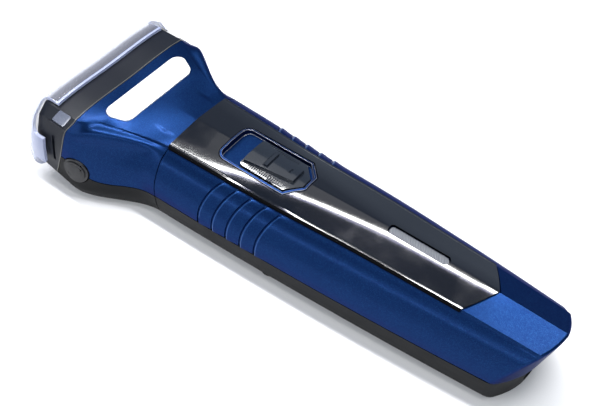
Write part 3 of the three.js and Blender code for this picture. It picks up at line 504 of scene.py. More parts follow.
# parallel ribs or brush marks across one direction
ribbed, given, made = nodeGroup("parallelRibs", {
    "Direction": ("Vector", (1, 0, 0)), "Pitch": ("Float", 0.0005), "Sharpness": ("Float", 1.0)},
    {"Height": ("Float", None)})
reach = node(ribbed, "VectorMath", {"operation": "DOT_PRODUCT"},
             n0=node(ribbed, "TexCoord").outputs["Object"], n1=given.outputs["Direction"]).outputs["Value"]
turns = math(ribbed, "MULTIPLY", math(ribbed, "DIVIDE", reach, given.outputs["Pitch"]), 2 * pi)
wave = math(ribbed, "MULTIPLY", math(ribbed, "SINE", turns), given.outputs["Sharpness"])
ribbed.links.new(math(ribbed, "ADD", math(ribbed, "MULTIPLY", wave, 0.5), 0.5, True), made.inputs["Height"])

brushed, given, made = nodeGroup("brushMarks", {
    "Stretch": ("Vector", (40, 2000, 2000)), "Roughness": ("Float", 0.25), "Spread": ("Float", 0.15)},
    {"Roughness": ("Float", None), "Height": ("Float", None)})
spot = node(brushed, "VectorMath", {"operation": "MULTIPLY"}, n0=node(brushed, "TexCoord").outputs["Object"],
            n1=given.outputs["Stretch"]).outputs[0]
marks = noiseOf(brushed, 1.0, 3.0, spot)
brushed.links.new(math(brushed, "ADD", given.outputs["Roughness"],
                       math(brushed, "MULTIPLY", given.outputs["Spread"],
                            math(brushed, "SUBTRACT", marks, 0.5))), made.inputs["Roughness"])
brushed.links.new(marks, made.inputs["Height"])

# rows of round holes, every other row shifted by half a pitch
holes, given, made = nodeGroup("holeRows", {"Pitch": ("Float", 0.0008), "Hole Share": ("Float", 0.33)},
                               {"Mask": ("Float", None), "Height": ("Float", None)})
place = node(holes, "SeparateXYZ", n0=node(holes, "TexCoord").outputs["Object"])
across = math(holes, "DIVIDE", place.outputs[1], given.outputs["Pitch"])
around = math(holes, "DIVIDE", math(holes, "ADD", math(holes, "MULTIPLY", place.outputs[2], 0.9),
                                    math(holes, "MULTIPLY", place.outputs[0], 0.6)), given.outputs["Pitch"])
row = math(holes, "FLOOR", around)
shift = math(holes, "MULTIPLY", math(holes, "MODULO", row, 2.0), 0.5)
u = math(holes, "SUBTRACT", math(holes, "FRACT", math(holes, "ADD", across, shift)), 0.5)
v = math(holes, "SUBTRACT", math(holes, "FRACT", around), 0.5)
away = math(holes, "SQRT", math(holes, "ADD", math(holes, "MULTIPLY", u, u), math(holes, "MULTIPLY", v, v)))
solidHere = node(holes, "MapRange", {"clamp": True}, n0=away, n1=given.outputs["Hole Share"],
                 n2=math(holes, "ADD", given.outputs["Hole Share"], 0.06), n3=0.0, n4=1.0)
holes.links.new(solidHere.outputs[0], made.inputs["Mask"])
holes.links.new(solidHere.outputs[0], made.inputs["Height"])


def surface(name, group=None, inputs=None, bump=(0.0, 0.0001), **shader):
    # a Principled material whose group drives colour, roughness and bump; shader holds constants
    material = bpy.data.materials.new(name)
    material.use_nodes = True
    tree = material.node_tree
    principled = tree.nodes["Principled BSDF"]
    for key, value in shader.items():
        label = {"base": "Base Color", "rough": "Roughness", "metal": "Metallic", "coat": "Coat Weight",
                 "coatRough": "Coat Roughness", "shine": "Specular IOR Level", "ior": "IOR",
                 "alpha": "Alpha", "under": "Subsurface Weight", "edge": "Specular Tint"}[key]
        principled.inputs[label].default_value = (*value, 1) if key in ("base", "edge") else value
    if group:
        used = tree.nodes.new("ShaderNodeGroup")
        used.node_tree = group
        for key, value in (inputs or {}).items():
            used.inputs[key].default_value = (*value, 1) if "Color" in key else value
        for out, into in (("Color", "Base Color"), ("Roughness", "Roughness")):
            if out in used.outputs:
                tree.links.new(used.outputs[out], principled.inputs[into])
        if bump[0] and "Height" in used.outputs:
            bumped = node(tree, "Bump", Strength=bump[0], Distance=bump[1], Height=used.outputs["Height"])
            tree.links.new(bumped.outputs[0], principled.inputs["Normal"])
    return material


blueSatin = surface("blueSatin", flakes, {
    "Color": (0.0032, 0.0175, 0.082), "Flake Color": (0.035, 0.16, 0.4), "Flake Share": 0.2, "Drift": 0.1,
    "Roughness": 0.36}, (0.05, 0.00004), metal=0.85, shine=0.2, coat=0.05, coatRough=0.25,
    edge=(0.34, 0.36, 0.52))
# a lighter blue for the lips behind the grip's grooves: a painted highlight
lipHighlightBlue = surface("lipHighlightBlue", flakes, {
    "Color": (0.015, 0.058, 0.2), "Flake Color": (0.05, 0.18, 0.42), "Flake Share": 0.2, "Drift": 0.1,
    "Roughness": 0.4}, metal=0.8, shine=0.2)
pianoBlack = surface("pianoBlack", smudged, {"Roughness": 0.12, "Smudge": 0.06, "Wave Scale": 190.0},
                     (0.35, 0.00003), base=(0.003, 0.0045, 0.009), shine=0.5, coat=0.7, coatRough=0.03)
thumbGloss = surface("thumbGloss", smudged, {"Roughness": 0.12, "Smudge": 0.08, "Wave Scale": 230.0},
                     (0.45, 0.00003), base=(0.011, 0.015, 0.023), shine=0.5, coat=0.7, coatRough=0.03)
# a pale metal for narrow edge bevels: a painted edge highlight
edgeHighlight = surface("edgeHighlight", brushed, {"Roughness": 0.3, "Spread": 0.1}, (0.05, 0.00002),
                       base=(0.34, 0.35, 0.4), metal=0.8)
# a matte black for steep walls; its darker colour is painted shade
shadedWallBlack = surface("shadedWallBlack", moulded, {"Color": (0.0012, 0.0014, 0.002), "Roughness": 0.6, "Wear": 0.1},
                    (0.1, 0.00004), shine=0.05)
greySatin = surface("greySatin", moulded, {"Color": (0.008, 0.0085, 0.0095), "Roughness": 0.5, "Wear": 0.25},
                    (0.12, 0.00005), shine=0.1)
charcoal = surface("charcoal", moulded, {"Color": (0.007, 0.009, 0.015), "Roughness": 0.4, "Wear": 0.2},
                   (0.1, 0.00005), shine=0.22)
# a pale tan for the thin lip at the frame's rear edge: a painted highlight of the rim
rimHighlightTan = surface("rimHighlightTan", moulded, {"Color": (0.1, 0.1, 0.093), "Roughness": 0.3, "Wear": 0.2},
                  (0.05, 0.00004), shine=0.4)
buttonDark = surface("buttonDark", moulded, {"Color": (0.008, 0.009, 0.012), "Roughness": 0.38, "Wear": 0.2},
                     (0.1, 0.00004), shine=0.3)
whiteLabel = surface("whiteLabel", moulded, {"Color": (0.86, 0.865, 0.88), "Roughness": 0.42, "Wear": 0.06,
                                             "Grain Scale": 1500.0}, (0.05, 0.00003))
nylonWhite = surface("nylonWhite", moulded, {"Color": (0.72, 0.69, 0.6), "Roughness": 0.5, "Wear": 0.12},
                     (0.08, 0.00005), under=0.05)
boardGreen = surface("boardGreen", moulded, {"Color": (0.012, 0.12, 0.04), "Roughness": 0.45, "Wear": 0.3,
                                             "Grain Scale": 900.0}, (0.1, 0.00005), coat=0.3)
cellWrap = surface("cellWrap", moulded, {"Color": (0.04, 0.18, 0.07), "Roughness": 0.3, "Wear": 0.15},
                   (0.05, 0.00004), coat=0.5)
shavingSteel = surface("shavingSteel", brushed, {"Roughness": 0.24, "Spread": 0.2}, (0.08, 0.00003),
                       base=(0.62, 0.63, 0.65), metal=1.0)
motorSteel = surface("motorSteel", brushed, {"Roughness": 0.36, "Spread": 0.25}, (0.1, 0.00004),
                     base=(0.5, 0.5, 0.5), metal=1.0)
nickelStrip = surface("nickelStrip", brushed, {"Roughness": 0.3, "Spread": 0.2}, (0.08, 0.00003),
                      base=(0.56, 0.53, 0.48), metal=1.0)
brassPin = surface("brassPin", brushed, {"Roughness": 0.28, "Spread": 0.2}, (0.08, 0.00003),
                   base=(0.65, 0.42, 0.14), metal=1.0)
clearCap = surface("clearCap", ribbed, {"Direction": (0, 1, 0), "Pitch": 0.0006, "Sharpness": 1.0},
                   (0.3, 0.0001), base=(0.93, 0.95, 1.0), rough=0.2, ior=1.49, alpha=0.36, coat=0.15)
# the cap is dark near the rim and grows pale towards the crown; a pale band round the rim and the ends is a
# painted highlight; places are in metres
capTones = {"crown": (-0.0722, -0.0795), "rim highlight": (-0.0724, -0.0718), "end highlight": (-0.0783, -0.0776),
            "ends": 0.0212, "deep": (0.16, 0.165, 0.2, 1), "crown color": (0.68, 0.7, 0.8, 1),
            "highlight color": (0.42, 0.47, 0.68, 1)}
capTree = clearCap.node_tree
capPlace = node(capTree, "SeparateXYZ", n0=node(capTree, "TexCoord").outputs["Object"])
fromRim = capPlace.outputs[0]


def toneRise(name, most):  # rises smoothly from 0 to most between two places
    first, last = capTones[name]
    return node(capTree, "MapRange", {"interpolation_type": "SMOOTHSTEP"}, n0=fromRim, n1=first, n2=last,
                n3=0.0, n4=most).outputs[0]


crown = toneRise("crown", 1.0)
rimHighlight = toneRise("rim highlight", 1.0)
atEnds = math(capTree, "GREATER_THAN", math(capTree, "ABSOLUTE", capPlace.outputs[1]), capTones["ends"])
endHighlight = toneRise("end highlight", 0.8)
# the band round the rim and the ends takes the painted highlight colour
rimHighlight = math(capTree, "MAXIMUM", rimHighlight, math(capTree, "MULTIPLY", atEnds, endHighlight))
capTone = node(capTree, "Mix", {"data_type": "RGBA"}, n0=crown, n6=capTones["deep"], n7=capTones["crown color"])
capTone = node(capTree, "Mix", {"data_type": "RGBA"}, n0=rimHighlight, n6=capTone.outputs[2],
             n7=capTones["highlight color"])
capTree.links.new(capTone.outputs[2], capTree.nodes["Principled BSDF"].inputs["Base Color"])
thickness = math(capTree, "ADD", math(capTree, "MULTIPLY", crown, -0.12), 0.52)
capTree.links.new(math(capTree, "MAXIMUM", thickness, math(capTree, "MULTIPLY", rimHighlight, 0.9)),
                  capTree.nodes["Principled BSDF"].inputs["Alpha"])
clearWindow = surface("clearWindow", ribbed, {"Direction": (1, 0, 0), "Pitch": 0.0005, "Sharpness": 1.0},
                      (0.4, 0.0001), base=(0.1, 0.115, 0.165), rough=0.14, metal=0.4, coat=0.8)
lampClear = surface("lampClear", ribbed, {"Direction": (0.9, 0.43, 0), "Pitch": 0.0007, "Sharpness": 1.0},
                    (0.6, 0.0002), base=(0.15, 0.16, 0.18), rough=0.4, coat=0.15)
foilSteel = surface("foilSteel", holes, {}, (0.3, 0.00005), base=(0.66, 0.67, 0.69), rough=0.26, metal=1.0)
foilTree = foilSteel.node_tree
foilTree.links.new(next(n for n in foilTree.nodes if n.type == "GROUP").outputs["Mask"],
                   foilTree.nodes["Principled BSDF"].inputs["Alpha"])
print("finishes:", len(bpy.data.materials))


# handle: blue front shell

grip = {"count": 5, "first": 20, "pitch": 4.93, "lean": 3.9, "bow": 1.1,
        "section": [(-0.45, 0), (-0.12, -0.02), (0.02, -0.4), (0.2, -0.5), (0.38, -0.4), (0.5, 0.02),
                    (0.66, 0.15), (1.0, 0.22), (2.0, 0.15), (3.4, 0.03)]}
front = {"tip": 99, "slant": 0.51, "thick": 0.6, "proud": 0.4, "seat": 0.45, "rim": 0.06,
         "gap": 0.3}


def vBend(x):  # how far the cross rows follow the fascia's V
    return front["slant"] * ease(78, 96, x) * (1 - ease(101, 117, x))


def gripBend(x):
    return ease(1, 17, x) * (1 - ease(43, 62, x))


def placeOnHandle(x, s, side, share=0, lift=0, endInset=0, wallShare=0, middle=10):
    # a point on the handle's skin: rows bend along the V and the grooves, and end on the bowed tail
    bend = grip["lean"] * share + grip["bow"] * sin(pi * share)
    at = x - gripBend(x) * bend
    for _ in range(3):
        point = drawnIn(outlinePoint(at, s) + outward(at, s) * lift, endInset, middle)
        point = point.lerp(Vector((0, middle)), wallShare)
        spread = min(point.x, spineHalf(at)) * (1 - share)
        pull = ease(86, form["length"], x)
        end = tailEnd(point.x, point.y)
        at = x - gripBend(x) * bend - vBend(x) * spread + pull * (end - form["length"])
    return Vector((at, side * point.x, point.y))


def tailRows():  # the last rows: the rounding of the edge, then the end wall
    r = form["tailRound"]
    rows = [{"x": form["length"] - r * (1 - sin(a)), "endInset": r * (1 - cos(a))}
            for a in [radians(d) for d in (0, 22.5, 45, 67.5, 90)]]
    rows += [{"x": form["length"], "endInset": r, "wallShare": w} for w in (0.06, 0.2, 0.45, 0.72, 1)]
    return rows


def gripRows():
    rows = []
    for n in range(grip["count"]):
        rows += [{"x": grip["first"] + n * grip["pitch"] + at, "lift": lift} for at, lift in grip["section"]]
    return rows


def frontShell():
    tip = front["tip"] + 1.12 * front["gap"]
    seated = [0.15, 1.5, 4, 7, 10, 13, 16, 18.4]
    rows = [{"x": x, "seat": 1} for x in seated] + [{**row, "seat": 1} for row in gripRows()]
    rows += [{"x": x, "seat": 1} for x in [*steps(44.5, 92, 18), tip - 3, tip]]
    rows += [{"x": x} for x in [tip + 0.15, *steps(tip + 2.5, form["length"] - 2.2, 8)]] + tailRows()
    half = [("spine", s) for s in [*steps(0, 1, 6), 1.35, 1.7, 2]]
    half += [("side", t) for t in steps(0, 1, 28)[1:]]
    columns = [(kind, t, -1) for kind, t in reversed(half)] + [(kind, t, 1) for kind, t in half[1:]]
    lowest = form["seam"] + form["seamGap"] / 2

    def place(row, column):
        kind, t, side = column
        ending = {key: row[key] for key in ("endInset", "wallShare") if key in row}
        x = row["x"]
        if kind == "spine":
            sunk = front["seat"] * row.get("seat", 0) * (1 - ease(1.4, 2, t))
            return placeOnHandle(x, t, side, lift=-sunk, middle=lowest, **ending)
        s = shareStation(x, 2, stationAt(min(x, 117), lowest), t)
        return placeOnHandle(x, s, side, t, row.get("lift", 0) * ease(0, 0.07, t), middle=lowest, **ending)

    return cut(thickened(formedGrid(rows, columns, place), form["wall"]), *frontOpenings())


well = {"start": 13.1, "end": 41.4, "half": 7.1, "corner": 4.5, "nose": 3, "floor": 23.7, "wall": 0.65}
lampWindow = {"start": 67, "end": 84.6, "half": 1.25, "corner": 0.85, "nose": 0.9, "deep": 0.55,
              "ribs": 25, "rib": 0.35}


def nosedPlan(start, end, half, corner, nose, sides=6):  # rounded towards the head, chamfered behind
    arc = [(start + nose * (1 - sin(a)), half - nose * (1 - cos(a))) for a in steps(0, pi / 2, sides)]
    return ([(x, -y) for x, y in arc[::-1]] + [(end - corner, -half), (end, corner - half),
            (end, half - corner), (end - corner, half)] + arc)


def wellPlan(grow):
    return nosedPlan(well["start"] - grow, well["end"] + grow, well["half"] + grow,
                     well["corner"] + 0.4 * grow, well["nose"] + grow)


def windowPlan(grow):
    return nosedPlan(lampWindow["start"] - grow, lampWindow["end"] + grow, lampWindow["half"] + grow,
                     lampWindow["corner"], lampWindow["nose"])


def frontOpenings():  # for the switch tray and the charge window
    return [slab(plan(front["gap"]), 12, 40) for plan in (wellPlan, windowPlan)]


# the lips' lighter blue is a painted highlight
def onGripLipHighlight(normal, middle):  # the raised lip behind each groove catches more light
    return normal.x < -0.1 and abs(middle.y) > 12 and 17 < middle.x - headJoint < 45


settle(frontShell(), "handleFront", "handle", blueSatin, ["upper_shell"], bevel=0.22,
       second=lipHighlightBlue, chosen=onGripLipHighlight)
print("handle: front shell")


# handle: glossy front

def beadDip(s):  # a fine groove, then a bead that runs along the edge
    section = [(0, 0), (0.935, 0), (0.95, front["rim"]), (0.96, 0.03), (1, -0.02), (3, -0.02)]
    return lookUp(section, s) if s > 0.93 else 0


def glossyFront():
    tip = front["tip"]
    rows = steps(0.15, 60, 24) + steps(62.5, tip - 3, 16) + [tip]
    half = [*steps(0, 0.88, 20), 0.92, 0.935, 0.95, 0.96, 1, 1.3, 1.65, 1.92]
    columns = [-s for s in reversed(half)] + half[1:]

    def place(x, s):
        lift = front["proud"] * (1 - 0.8 * ease(1.2, 1.92, abs(s))) - beadDip(abs(s))
        return placeOnHandle(x, abs(s), 1 if s > 0 else -1, lift=lift)

    return cut(thickened(formedGrid(rows, columns, place), front["thick"]), *frontOpenings())


# the glossy front's steep walls take the darker black, painted shade, and its edge bevels a painted highlight
settle(glossyFront(), "glossFront", "handle", pianoBlack, ["fascia"], bevel=0.12, angle=35,
       sharp=60, second=shadedWallBlack, chosen=lambda normal, middle: abs(normal.z) < 0.72, edges=edgeHighlight)
print("handle: glossy front")


# handle: dark back shell

screws = {"handle": [(38.5, 14.4), (95.5, 8)], "head": [(-13.5, 15.2)], "head radius": 2.3, "shank": 1.1,
          "depth": 2.4, "boss": 3.1, "bore": 2.6, "hole": 1.4, "seat": 4.3, "thread": 0.55,
          "slot": (1.35, 0.28, 0.85)}
inlet = {"half": 4.2, "tall": 2.5, "height": 6.1, "round": 0.9}


def screwMounts(name, top):  # the bosses that screws go into, and the counterbores from the back
    places = [(x, side * y, 0) for x, y in screws[name] for side in (-1, 1)]
    wide, narrow, seat = screws["bore"], screws["hole"], screws["seat"]
    bosses = [rod(screws["boss"], 0.9, top, at=place, sides=24) for place in places]
    bores = [turned([(wide, -1), (wide, seat), (narrow, seat), (narrow, 12)], 32, at=place)
             for place in places]
    return bosses, bores


def backShell():
    rows = [{"x": x} for x in steps(0.15, 112, 44)] + [{"x": 114.5}, {"x": 116}]
    rows += tailRows()
    half = [("side", t) for t in steps(0, 1, 22)] + [("flat", t) for t in steps(0, 1, 6)[1:]]
    columns = [(kind, t, 1) for kind, t in half] + [(kind, t, -1) for kind, t in reversed(half[:-1])]
    highest = form["seam"] - form["seamGap"] / 2

    def place(row, column):
        kind, t, side = column
        x = row["x"]
        s = 11 + t * 0.9999 if kind == "flat" else shareStation(x, stationAt(min(x, 117), highest), 11, t)
        at = x
        for _ in range(3):
            point = drawnIn(outlinePoint(at, s), row.get("endInset", 0), highest)
            if kind == "side" and t == 0:
                point.y = highest
            point = point.lerp(Vector((0, highest)), row.get("wallShare", 0))
            at = x + ease(86, form["length"], x) * (tailEnd(point.x, point.y, 0.3) - form["length"])
        return Vector((at, side * point.x, point.y))

    bm = thickened(formedGrid(rows, columns, place), form["wall"])
    bosses, bores = screwMounts("handle", 9.4)
    opening = block((107.5, -inlet["half"], inlet["height"] - inlet["tall"]),
                    (125, inlet["half"], inlet["height"] + inlet["tall"]))
    rounded(opening, inlet["round"], 4, lengthwise)
    return cut(added(bm, *bosses), *bores, opening)


settle(backShell(), "handleBack", "handle", greySatin, ["lower_shell"], bevel=0.22)
print("handle: back shell")


# head: front and back shells

head = {"label": [(-22.2, 13.6), (-21.3, 15.1), (-19.3, 15.8), (-15, 13.9), (-14.1, 12.2)],
        "button x": -24.8, "button z": 10.9, "button radius": 4.2, "gap": 0.3}


def headPoint(v, s, side):
    # v runs from the neck to the joint with the foil frame
    start = -form["seamGap"] / 2
    at = start - v * form["headLength"]
    for _ in range(4):
        station = s(at) if callable(s) else s
        point = outlinePoint(at, station)
        at = start + v * (jointAt(point.y) - start)
    return Vector((at, side * point.x, point.y))


headRows = [0, 0.03, 0.08] + steps(0.14, 0.94, 30) + [0.98, 1]


def headFront():
    half = [("fixed", s) for s in steps(0, 1, 26)] + [("fixed", s) for s in (1.25, 1.5, 1.75, 2)]
    half += [("fixed", s) for s in steps(2, 3, 8)[1:]] + [("free", t) for t in steps(0, 1, 26)[1:]]
    columns = [(kind, t, 1) for kind, t in reversed(half)] + [(kind, t, -1) for kind, t in half[1:]]

    def place(v, column):
        kind, t, side = column
        if kind == "fixed":
            return headPoint(v, t, side)
        return headPoint(v, lambda x: mix(3, stationAt(x, seamAt(x) + form["seamGap"] / 2), t), side)

    return thickened(formedGrid(headRows, columns, place), 1.7)


def headBack():
    half = [("free", t) for t in steps(0, 1, 24)] + [("flat", t) for t in steps(0, 1, 8)[1:]]
    columns = [(kind, t, -1) for kind, t in half] + [(kind, t, 1) for kind, t in reversed(half[:-1])]

    def place(v, column):
        kind, t, side = column
        if kind == "flat":
            return headPoint(v, 11 + t * 0.9999, side)
        return headPoint(v, lambda x: mix(stationAt(x, seamAt(x) - form["seamGap"] / 2), 11, t), side)

    return thickened(formedGrid(headRows, columns, place), 1.7)


def buttonHoles():
    radius = head["button radius"] + head["gap"]
    return [rod(radius, 20, 40, axis, (head["button x"], 0, head["button z"]), 48) for axis in ("y", "-y")]


def labelPlan(grow):
    side = [(x + (grow if x > -18 else -grow) * (abs(x + 18) > 3), y + grow) for x, y in head["label"]]
    return side + [(x, -y) for x, y in side[::-1]]


def onFront(bm, lift):  # presses a flat piece made at z = 0 onto the head's or handle's front
    for vert in bm.verts:
        x, y, z = vert.co
        corners = cornersAt(x)
        share = min(1, abs(y) / corners[1].x)
        vert.co.z = outlinePoint(x, share).y + lift + z
    return bm


def headLabel():
    bm = slab(labelPlan(0), -0.5, 0, 0.6, 4)
    top = [f for f in bm.faces if f.calc_center_median().z > -0.01]
    bmesh.ops.inset_region(bm, faces=top, thickness=0.35, depth=0)
    bmesh.ops.triangulate(bm, faces=[f for f in bm.faces if len(f.verts) > 8])
    return onFront(bm, 0.14)


shell = cut(headFront(), onFront(slab(labelPlan(0.18), -0.6, 3, 0.7, 4), 0), *buttonHoles())
settle(shell, "headFront", "head", blueSatin, ["head_front_shell"], bevel=0.22)
settle(headLabel(), "label", "head", whiteLabel, ["label_plate"], bevel=0.12)
bosses, bores = screwMounts("head", 9.2)
shell = cut(added(headBack(), *bosses), *bores, *buttonHoles())
settle(shell, "headBack", "head", greySatin, ["head_back_shell"], bevel=0.22)
print("head: shells and label")


# thumb switch

thumb = {"start": 20.2, "end": 40.2, "half": 5.9, "corner": 4.1, "foot": 24, "shoulder": 25.3,
         "top": 26.75, "crown": 0.0166, "tail fall": 0.012, "middle": 30.2, "foot draw": (0.965, 0.94),
         "plateau draw": (0.96, 0.86), "bar": (27.1, 28.2, 2.7), "groove": (26.7, 28.6, 3),
         "slit": (34.2, 34.8, 0.8), "rib": {"first": 23, "last": 33.5, "count": 16, "out": 4.75, "half": 0.8,
                                            "wide": 0.3, "deep": 0.25},
         "stem": (27.2, 32.2), "stem half": 1.8, "travel": 5}


def aboveFront(lift, first, last, half):  # everything above the spine's roof, to trim tall pieces with
    def place(x, y):
        return Vector((x, y, outlinePoint(x, min(1, abs(y) / spineHalf(x))).y + lift))
    return thickened(formedGrid(steps(first, last, 10), steps(-half, half, 4), place), 30, 1)


def switchTray():
    slot = block((thumb["stem"][0] - thumb["travel"] - 0.3, -2.1, 10), (thumb["stem"][1] + 0.3, 2.1, 40))
    tray = slab(wellPlan(0), well["floor"] - 1.1, 40)
    return cut(tray, slab(wellPlan(-well["wall"]), well["floor"], 41), slot,
               aboveFront(front["proud"] + 0.15, 8, 46, 10))


def plateauPlan(grow):  # the raised part of the thumb button narrows towards the tail
    side = [(thumb["start"] + 0.9 - grow, 4.9 + grow), (thumb["end"] - 3 + grow, 2.7 + grow)]
    return [(x, -y) for x, y in side] + [(x, y) for x, y in side[::-1]]


def crowned(bm, height):  # trims a top so that it is arched across and falls a little towards the tail
    def place(x, y):
        return Vector((x, y, height - thumb["crown"] * y * y - thumb["tail fall"] * (x - thumb["start"])))
    return cut(bm, thickened(formedGrid(steps(18, 42, 8), steps(-7, 7, 14), place), 20, 1))


def narrowed(bm, share, above):  # draws in what lies above a height, about the button's middle
    bmesh.ops.scale(bm, vec=(*share, 1), space=Matrix.Translation((-thumb["middle"], 0, 0)),
                    verts=[v for v in bm.verts if v.co.z > above])


def acrossTop(name, low, high):  # a block over the plateau, from one of the dictionary's spans
    first, last, half = thumb[name]
    return block((first, -half, low), (last, half, high))


def thumbButton():
    plan = nosedPlan(thumb["start"], thumb["end"], thumb["half"], thumb["corner"], 1.1)
    base = crowned(slab(plan, thumb["foot"], thumb["shoulder"] + 0.8), thumb["shoulder"] + 0.45)
    narrowed(base, thumb["foot draw"], thumb["foot"] + 0.5)
    plateau = slab(plateauPlan(0), thumb["shoulder"] - 1, thumb["top"] + 0.2)
    narrowed(plateau, thumb["plateau draw"], thumb["top"])
    plateau = crowned(plateau, thumb["top"])
    stem = block((thumb["stem"][0], -thumb["stem half"], 20.4),
                 (thumb["stem"][1], thumb["stem half"], thumb["foot"] + 1))
    ridgeBar = acrossTop("bar", thumb["top"] - 0.5, thumb["top"] + 0.35)
    slit = acrossTop("slit", thumb["top"] - 0.5, 30)
    rib = thumb["rib"]
    ribs = [block((x, side * rib["out"] - rib["half"], thumb["shoulder"] - rib["deep"]),
                  (x + rib["wide"], side * rib["out"] + rib["half"], thumb["shoulder"] + 1))
            for x in steps(rib["first"], rib["last"], rib["count"] - 1) for side in (-1, 1)]
    body = cut(base, *ribs)
    groove = acrossTop("groove", thumb["top"] - 0.3, 30)
    return cut(added(added(body, cut(plateau, groove), stem), ridgeBar), slit)


# the tray's edge bevels take the painted edge highlight
settle(switchTray(), "switchTray", "handle", blueSatin, ["switch_bezel"], bevel=0.13,
       edges=edgeHighlight)
settle(thumbButton(), "thumbButton", "power_switch", thumbGloss, ["switch_button"], bevel=0.24,
       segments=3, angle=20)
print("handle: thumb switch")


# charge window and charging inlet

socket = {"start": 98.6, "end": 109.6, "half": 5.6, "back": 1.6}


def chargeWindow():
    lens = cut(slab(windowPlan(0), 22.2, 40), aboveFront(front["proud"] - lampWindow["deep"], 60, 92, 5))
    ribs = [block((x, -1.6, 21), (x + lampWindow["rib"], 1.6, 24.2))
            for x in steps(lampWindow["start"] + 0.5, lampWindow["end"] - 0.9, lampWindow["ribs"] - 1)]
    return cut(lens, *ribs)


def chargingSocket():
    low, high = inlet["height"] - inlet["tall"], inlet["height"] + inlet["tall"]
    body = block((socket["start"], -socket["half"], low - 1.2), (socket["end"], socket["half"], high + 1))
    mouth = block((socket["start"] + socket["back"], -inlet["half"], low),
                  (socket["end"] + 5, inlet["half"], high))
    rounded(mouth, inlet["round"], 4, lengthwise)
    sockets = [rod(0.62, socket["start"] - 1, socket["start"] + 3, "x", (0, side * 2, inlet["height"]), 20)
               for side in (-1, 1)]
    return cut(body, mouth, *sockets)


settle(chargeWindow(), "chargeWindow", "handle", lampClear, ["charge_window"], bevel=0.14)
settle(chargingSocket(), "chargingSocket", "handle", buttonDark, ["charging_socket"],
       bevel=0.12)
for side, hand in hands:
    start = socket["start"] + socket["back"] + 0.3
    pin = turned([(0.8, start), (0.8, start + 4.7), (0.62, start + 5.1), (0.3, start + 5.2)], 24, "x",
                 (0, side * 2, inlet["height"]))
    settle(pin, "socketPin." + hand, "handle", brassPin, ["socket_pin_" + hand], bevel=0)


# screws

def shellScrew(x, y, length):
    depth, reach = screws["depth"], screws["head radius"]
    profile = [(reach - 0.35, 0), (reach, 0.3), (reach, 1.6), (screws["shank"], 1.6)]
    for turn in steps(2.3, length - 1.4, round((length - 3.7) / screws["thread"])):
        profile += [(0.86, turn - 0.2), (screws["shank"], turn)]
    screw = turned(profile + [(0.25, length)], 28)
    half, wide, deep = screws["slot"]
    for angle in (0, pi / 2):
        slot = block((-half, -wide, -0.5), (half, wide, deep))
        bmesh.ops.rotate(slot, cent=(0, 0, 0), matrix=Matrix.Rotation(angle + 0.35, 3, "Z"), verts=slot.verts)
        screw = cut(screw, slot)
    bmesh.ops.translate(screw, vec=(x, y, depth), verts=screw.verts)
    return screw


for side, hand in hands:
    for (x, y), place in zip(screws["handle"], ("middle", "tail")):
        settle(shellScrew(x, side * y, 13), "screw." + place + "." + hand, "handle", shavingSteel,
               ["handle_screw_" + place + "_" + hand], bevel=0.05)
    for x, y in screws["head"]:
        settle(shellScrew(x, side * y, 12), "screw.head." + hand, "head", shavingSteel,
               ["head_screw_" + hand], bevel=0.05)
print("handle: window, inlet and screws")


# foil frame

nose = {"foil radius": 5, "foil centre": -37, "foil half": 22.6, "heights": (9.6, 20.4), "cap clear": 0.9,
        "gap": 0.3, "deck": -40, "wall": 1.8, "foil": 0.35}
frameCut = {"window": (-28.3, -33.1), "window inner": 22.24, "window outer": 24.93, "slant": 1.4, "low": 22.2,
            "clip": ((-33.6, 26.7, 10.8), (-32.6, 38.2, 19.6)),
            "latch": ((-39, 22.8, 18.6), (-25, 23.8, 20.8))}


def nosePoint(x, s, side, grow=0, widen=0):
    # the frame's skin: it rounds over past the middle of the foils, level with them
    radius = nose["foil radius"] + nose["cap clear"] - nose["gap"] + grow
    past = max(0, nose["foil centre"] - x)
    drop = radius - sqrt(max(0, radius * radius - past * past))
    at = max(x, nose["foil centre"])
    point = outlinePoint(at, s) + outward(at, s) * grow
    top, low = outlinePoint(at, 0).y + grow, outlinePoint(at, 11.99).y - grow
    middle = (top + low) / 2
    spread = 1 + (widen - 0.35 * drop) / form["headHalf"]
    return Vector((x, side * point.x * spread, middle + (point.y - middle) * (1 - drop / (top - middle))))


ringStations = [*steps(0, 2, 12), *steps(2, 4, 8)[1:], *steps(4, 9, 14)[1:], *steps(9, 12, 12)[1:]]
ringColumns = [(min(s, 11.999), 1) for s in ringStations]
ringColumns += [(s, -1) for s, _ in reversed(ringColumns)]


def mended(bm):  # closes a ring's seam and pole and turns its faces outwards
    bmesh.ops.remove_doubles(bm, verts=bm.verts, dist=0.02)
    bmesh.ops.recalc_face_normals(bm, faces=bm.faces)
    return bm


def noseSkin(start, end, grow=0, widen=0):
    # rows run from start(z) to the deck, then close it towards the middle of its height
    rows = [("side", t) for t in [0, 0.04, *steps(0.12, 0.9, 10), 1]]
    rows += [("bend", t) for t in (0.25, 0.5, 0.72, 0.88, 1)]
    rows += [("deck", t) for t in (0.04, 0.3, 0.65, 1)]

    def place(row, column):
        (kind, t), (s, side) = row, column
        x = nose["foil centre"]
        if kind == "side":
            high = outlinePoint(-32, s).y
            x = mix(start(high), nose["foil centre"], t)
        elif kind == "bend":
            x = mix(nose["foil centre"], end, t)
        else:
            x = end
        point = nosePoint(x, s, side, grow, widen)
        if kind == "deck":
            point = point.lerp(Vector((x, 0, 15.4)), t)
        return point

    return mended(formedGrid(rows, ringColumns, place))


def mirrored(low, high):
    return [block(low, high), block((low[0], -high[1], low[2]), (high[0], -low[1], high[2]))]


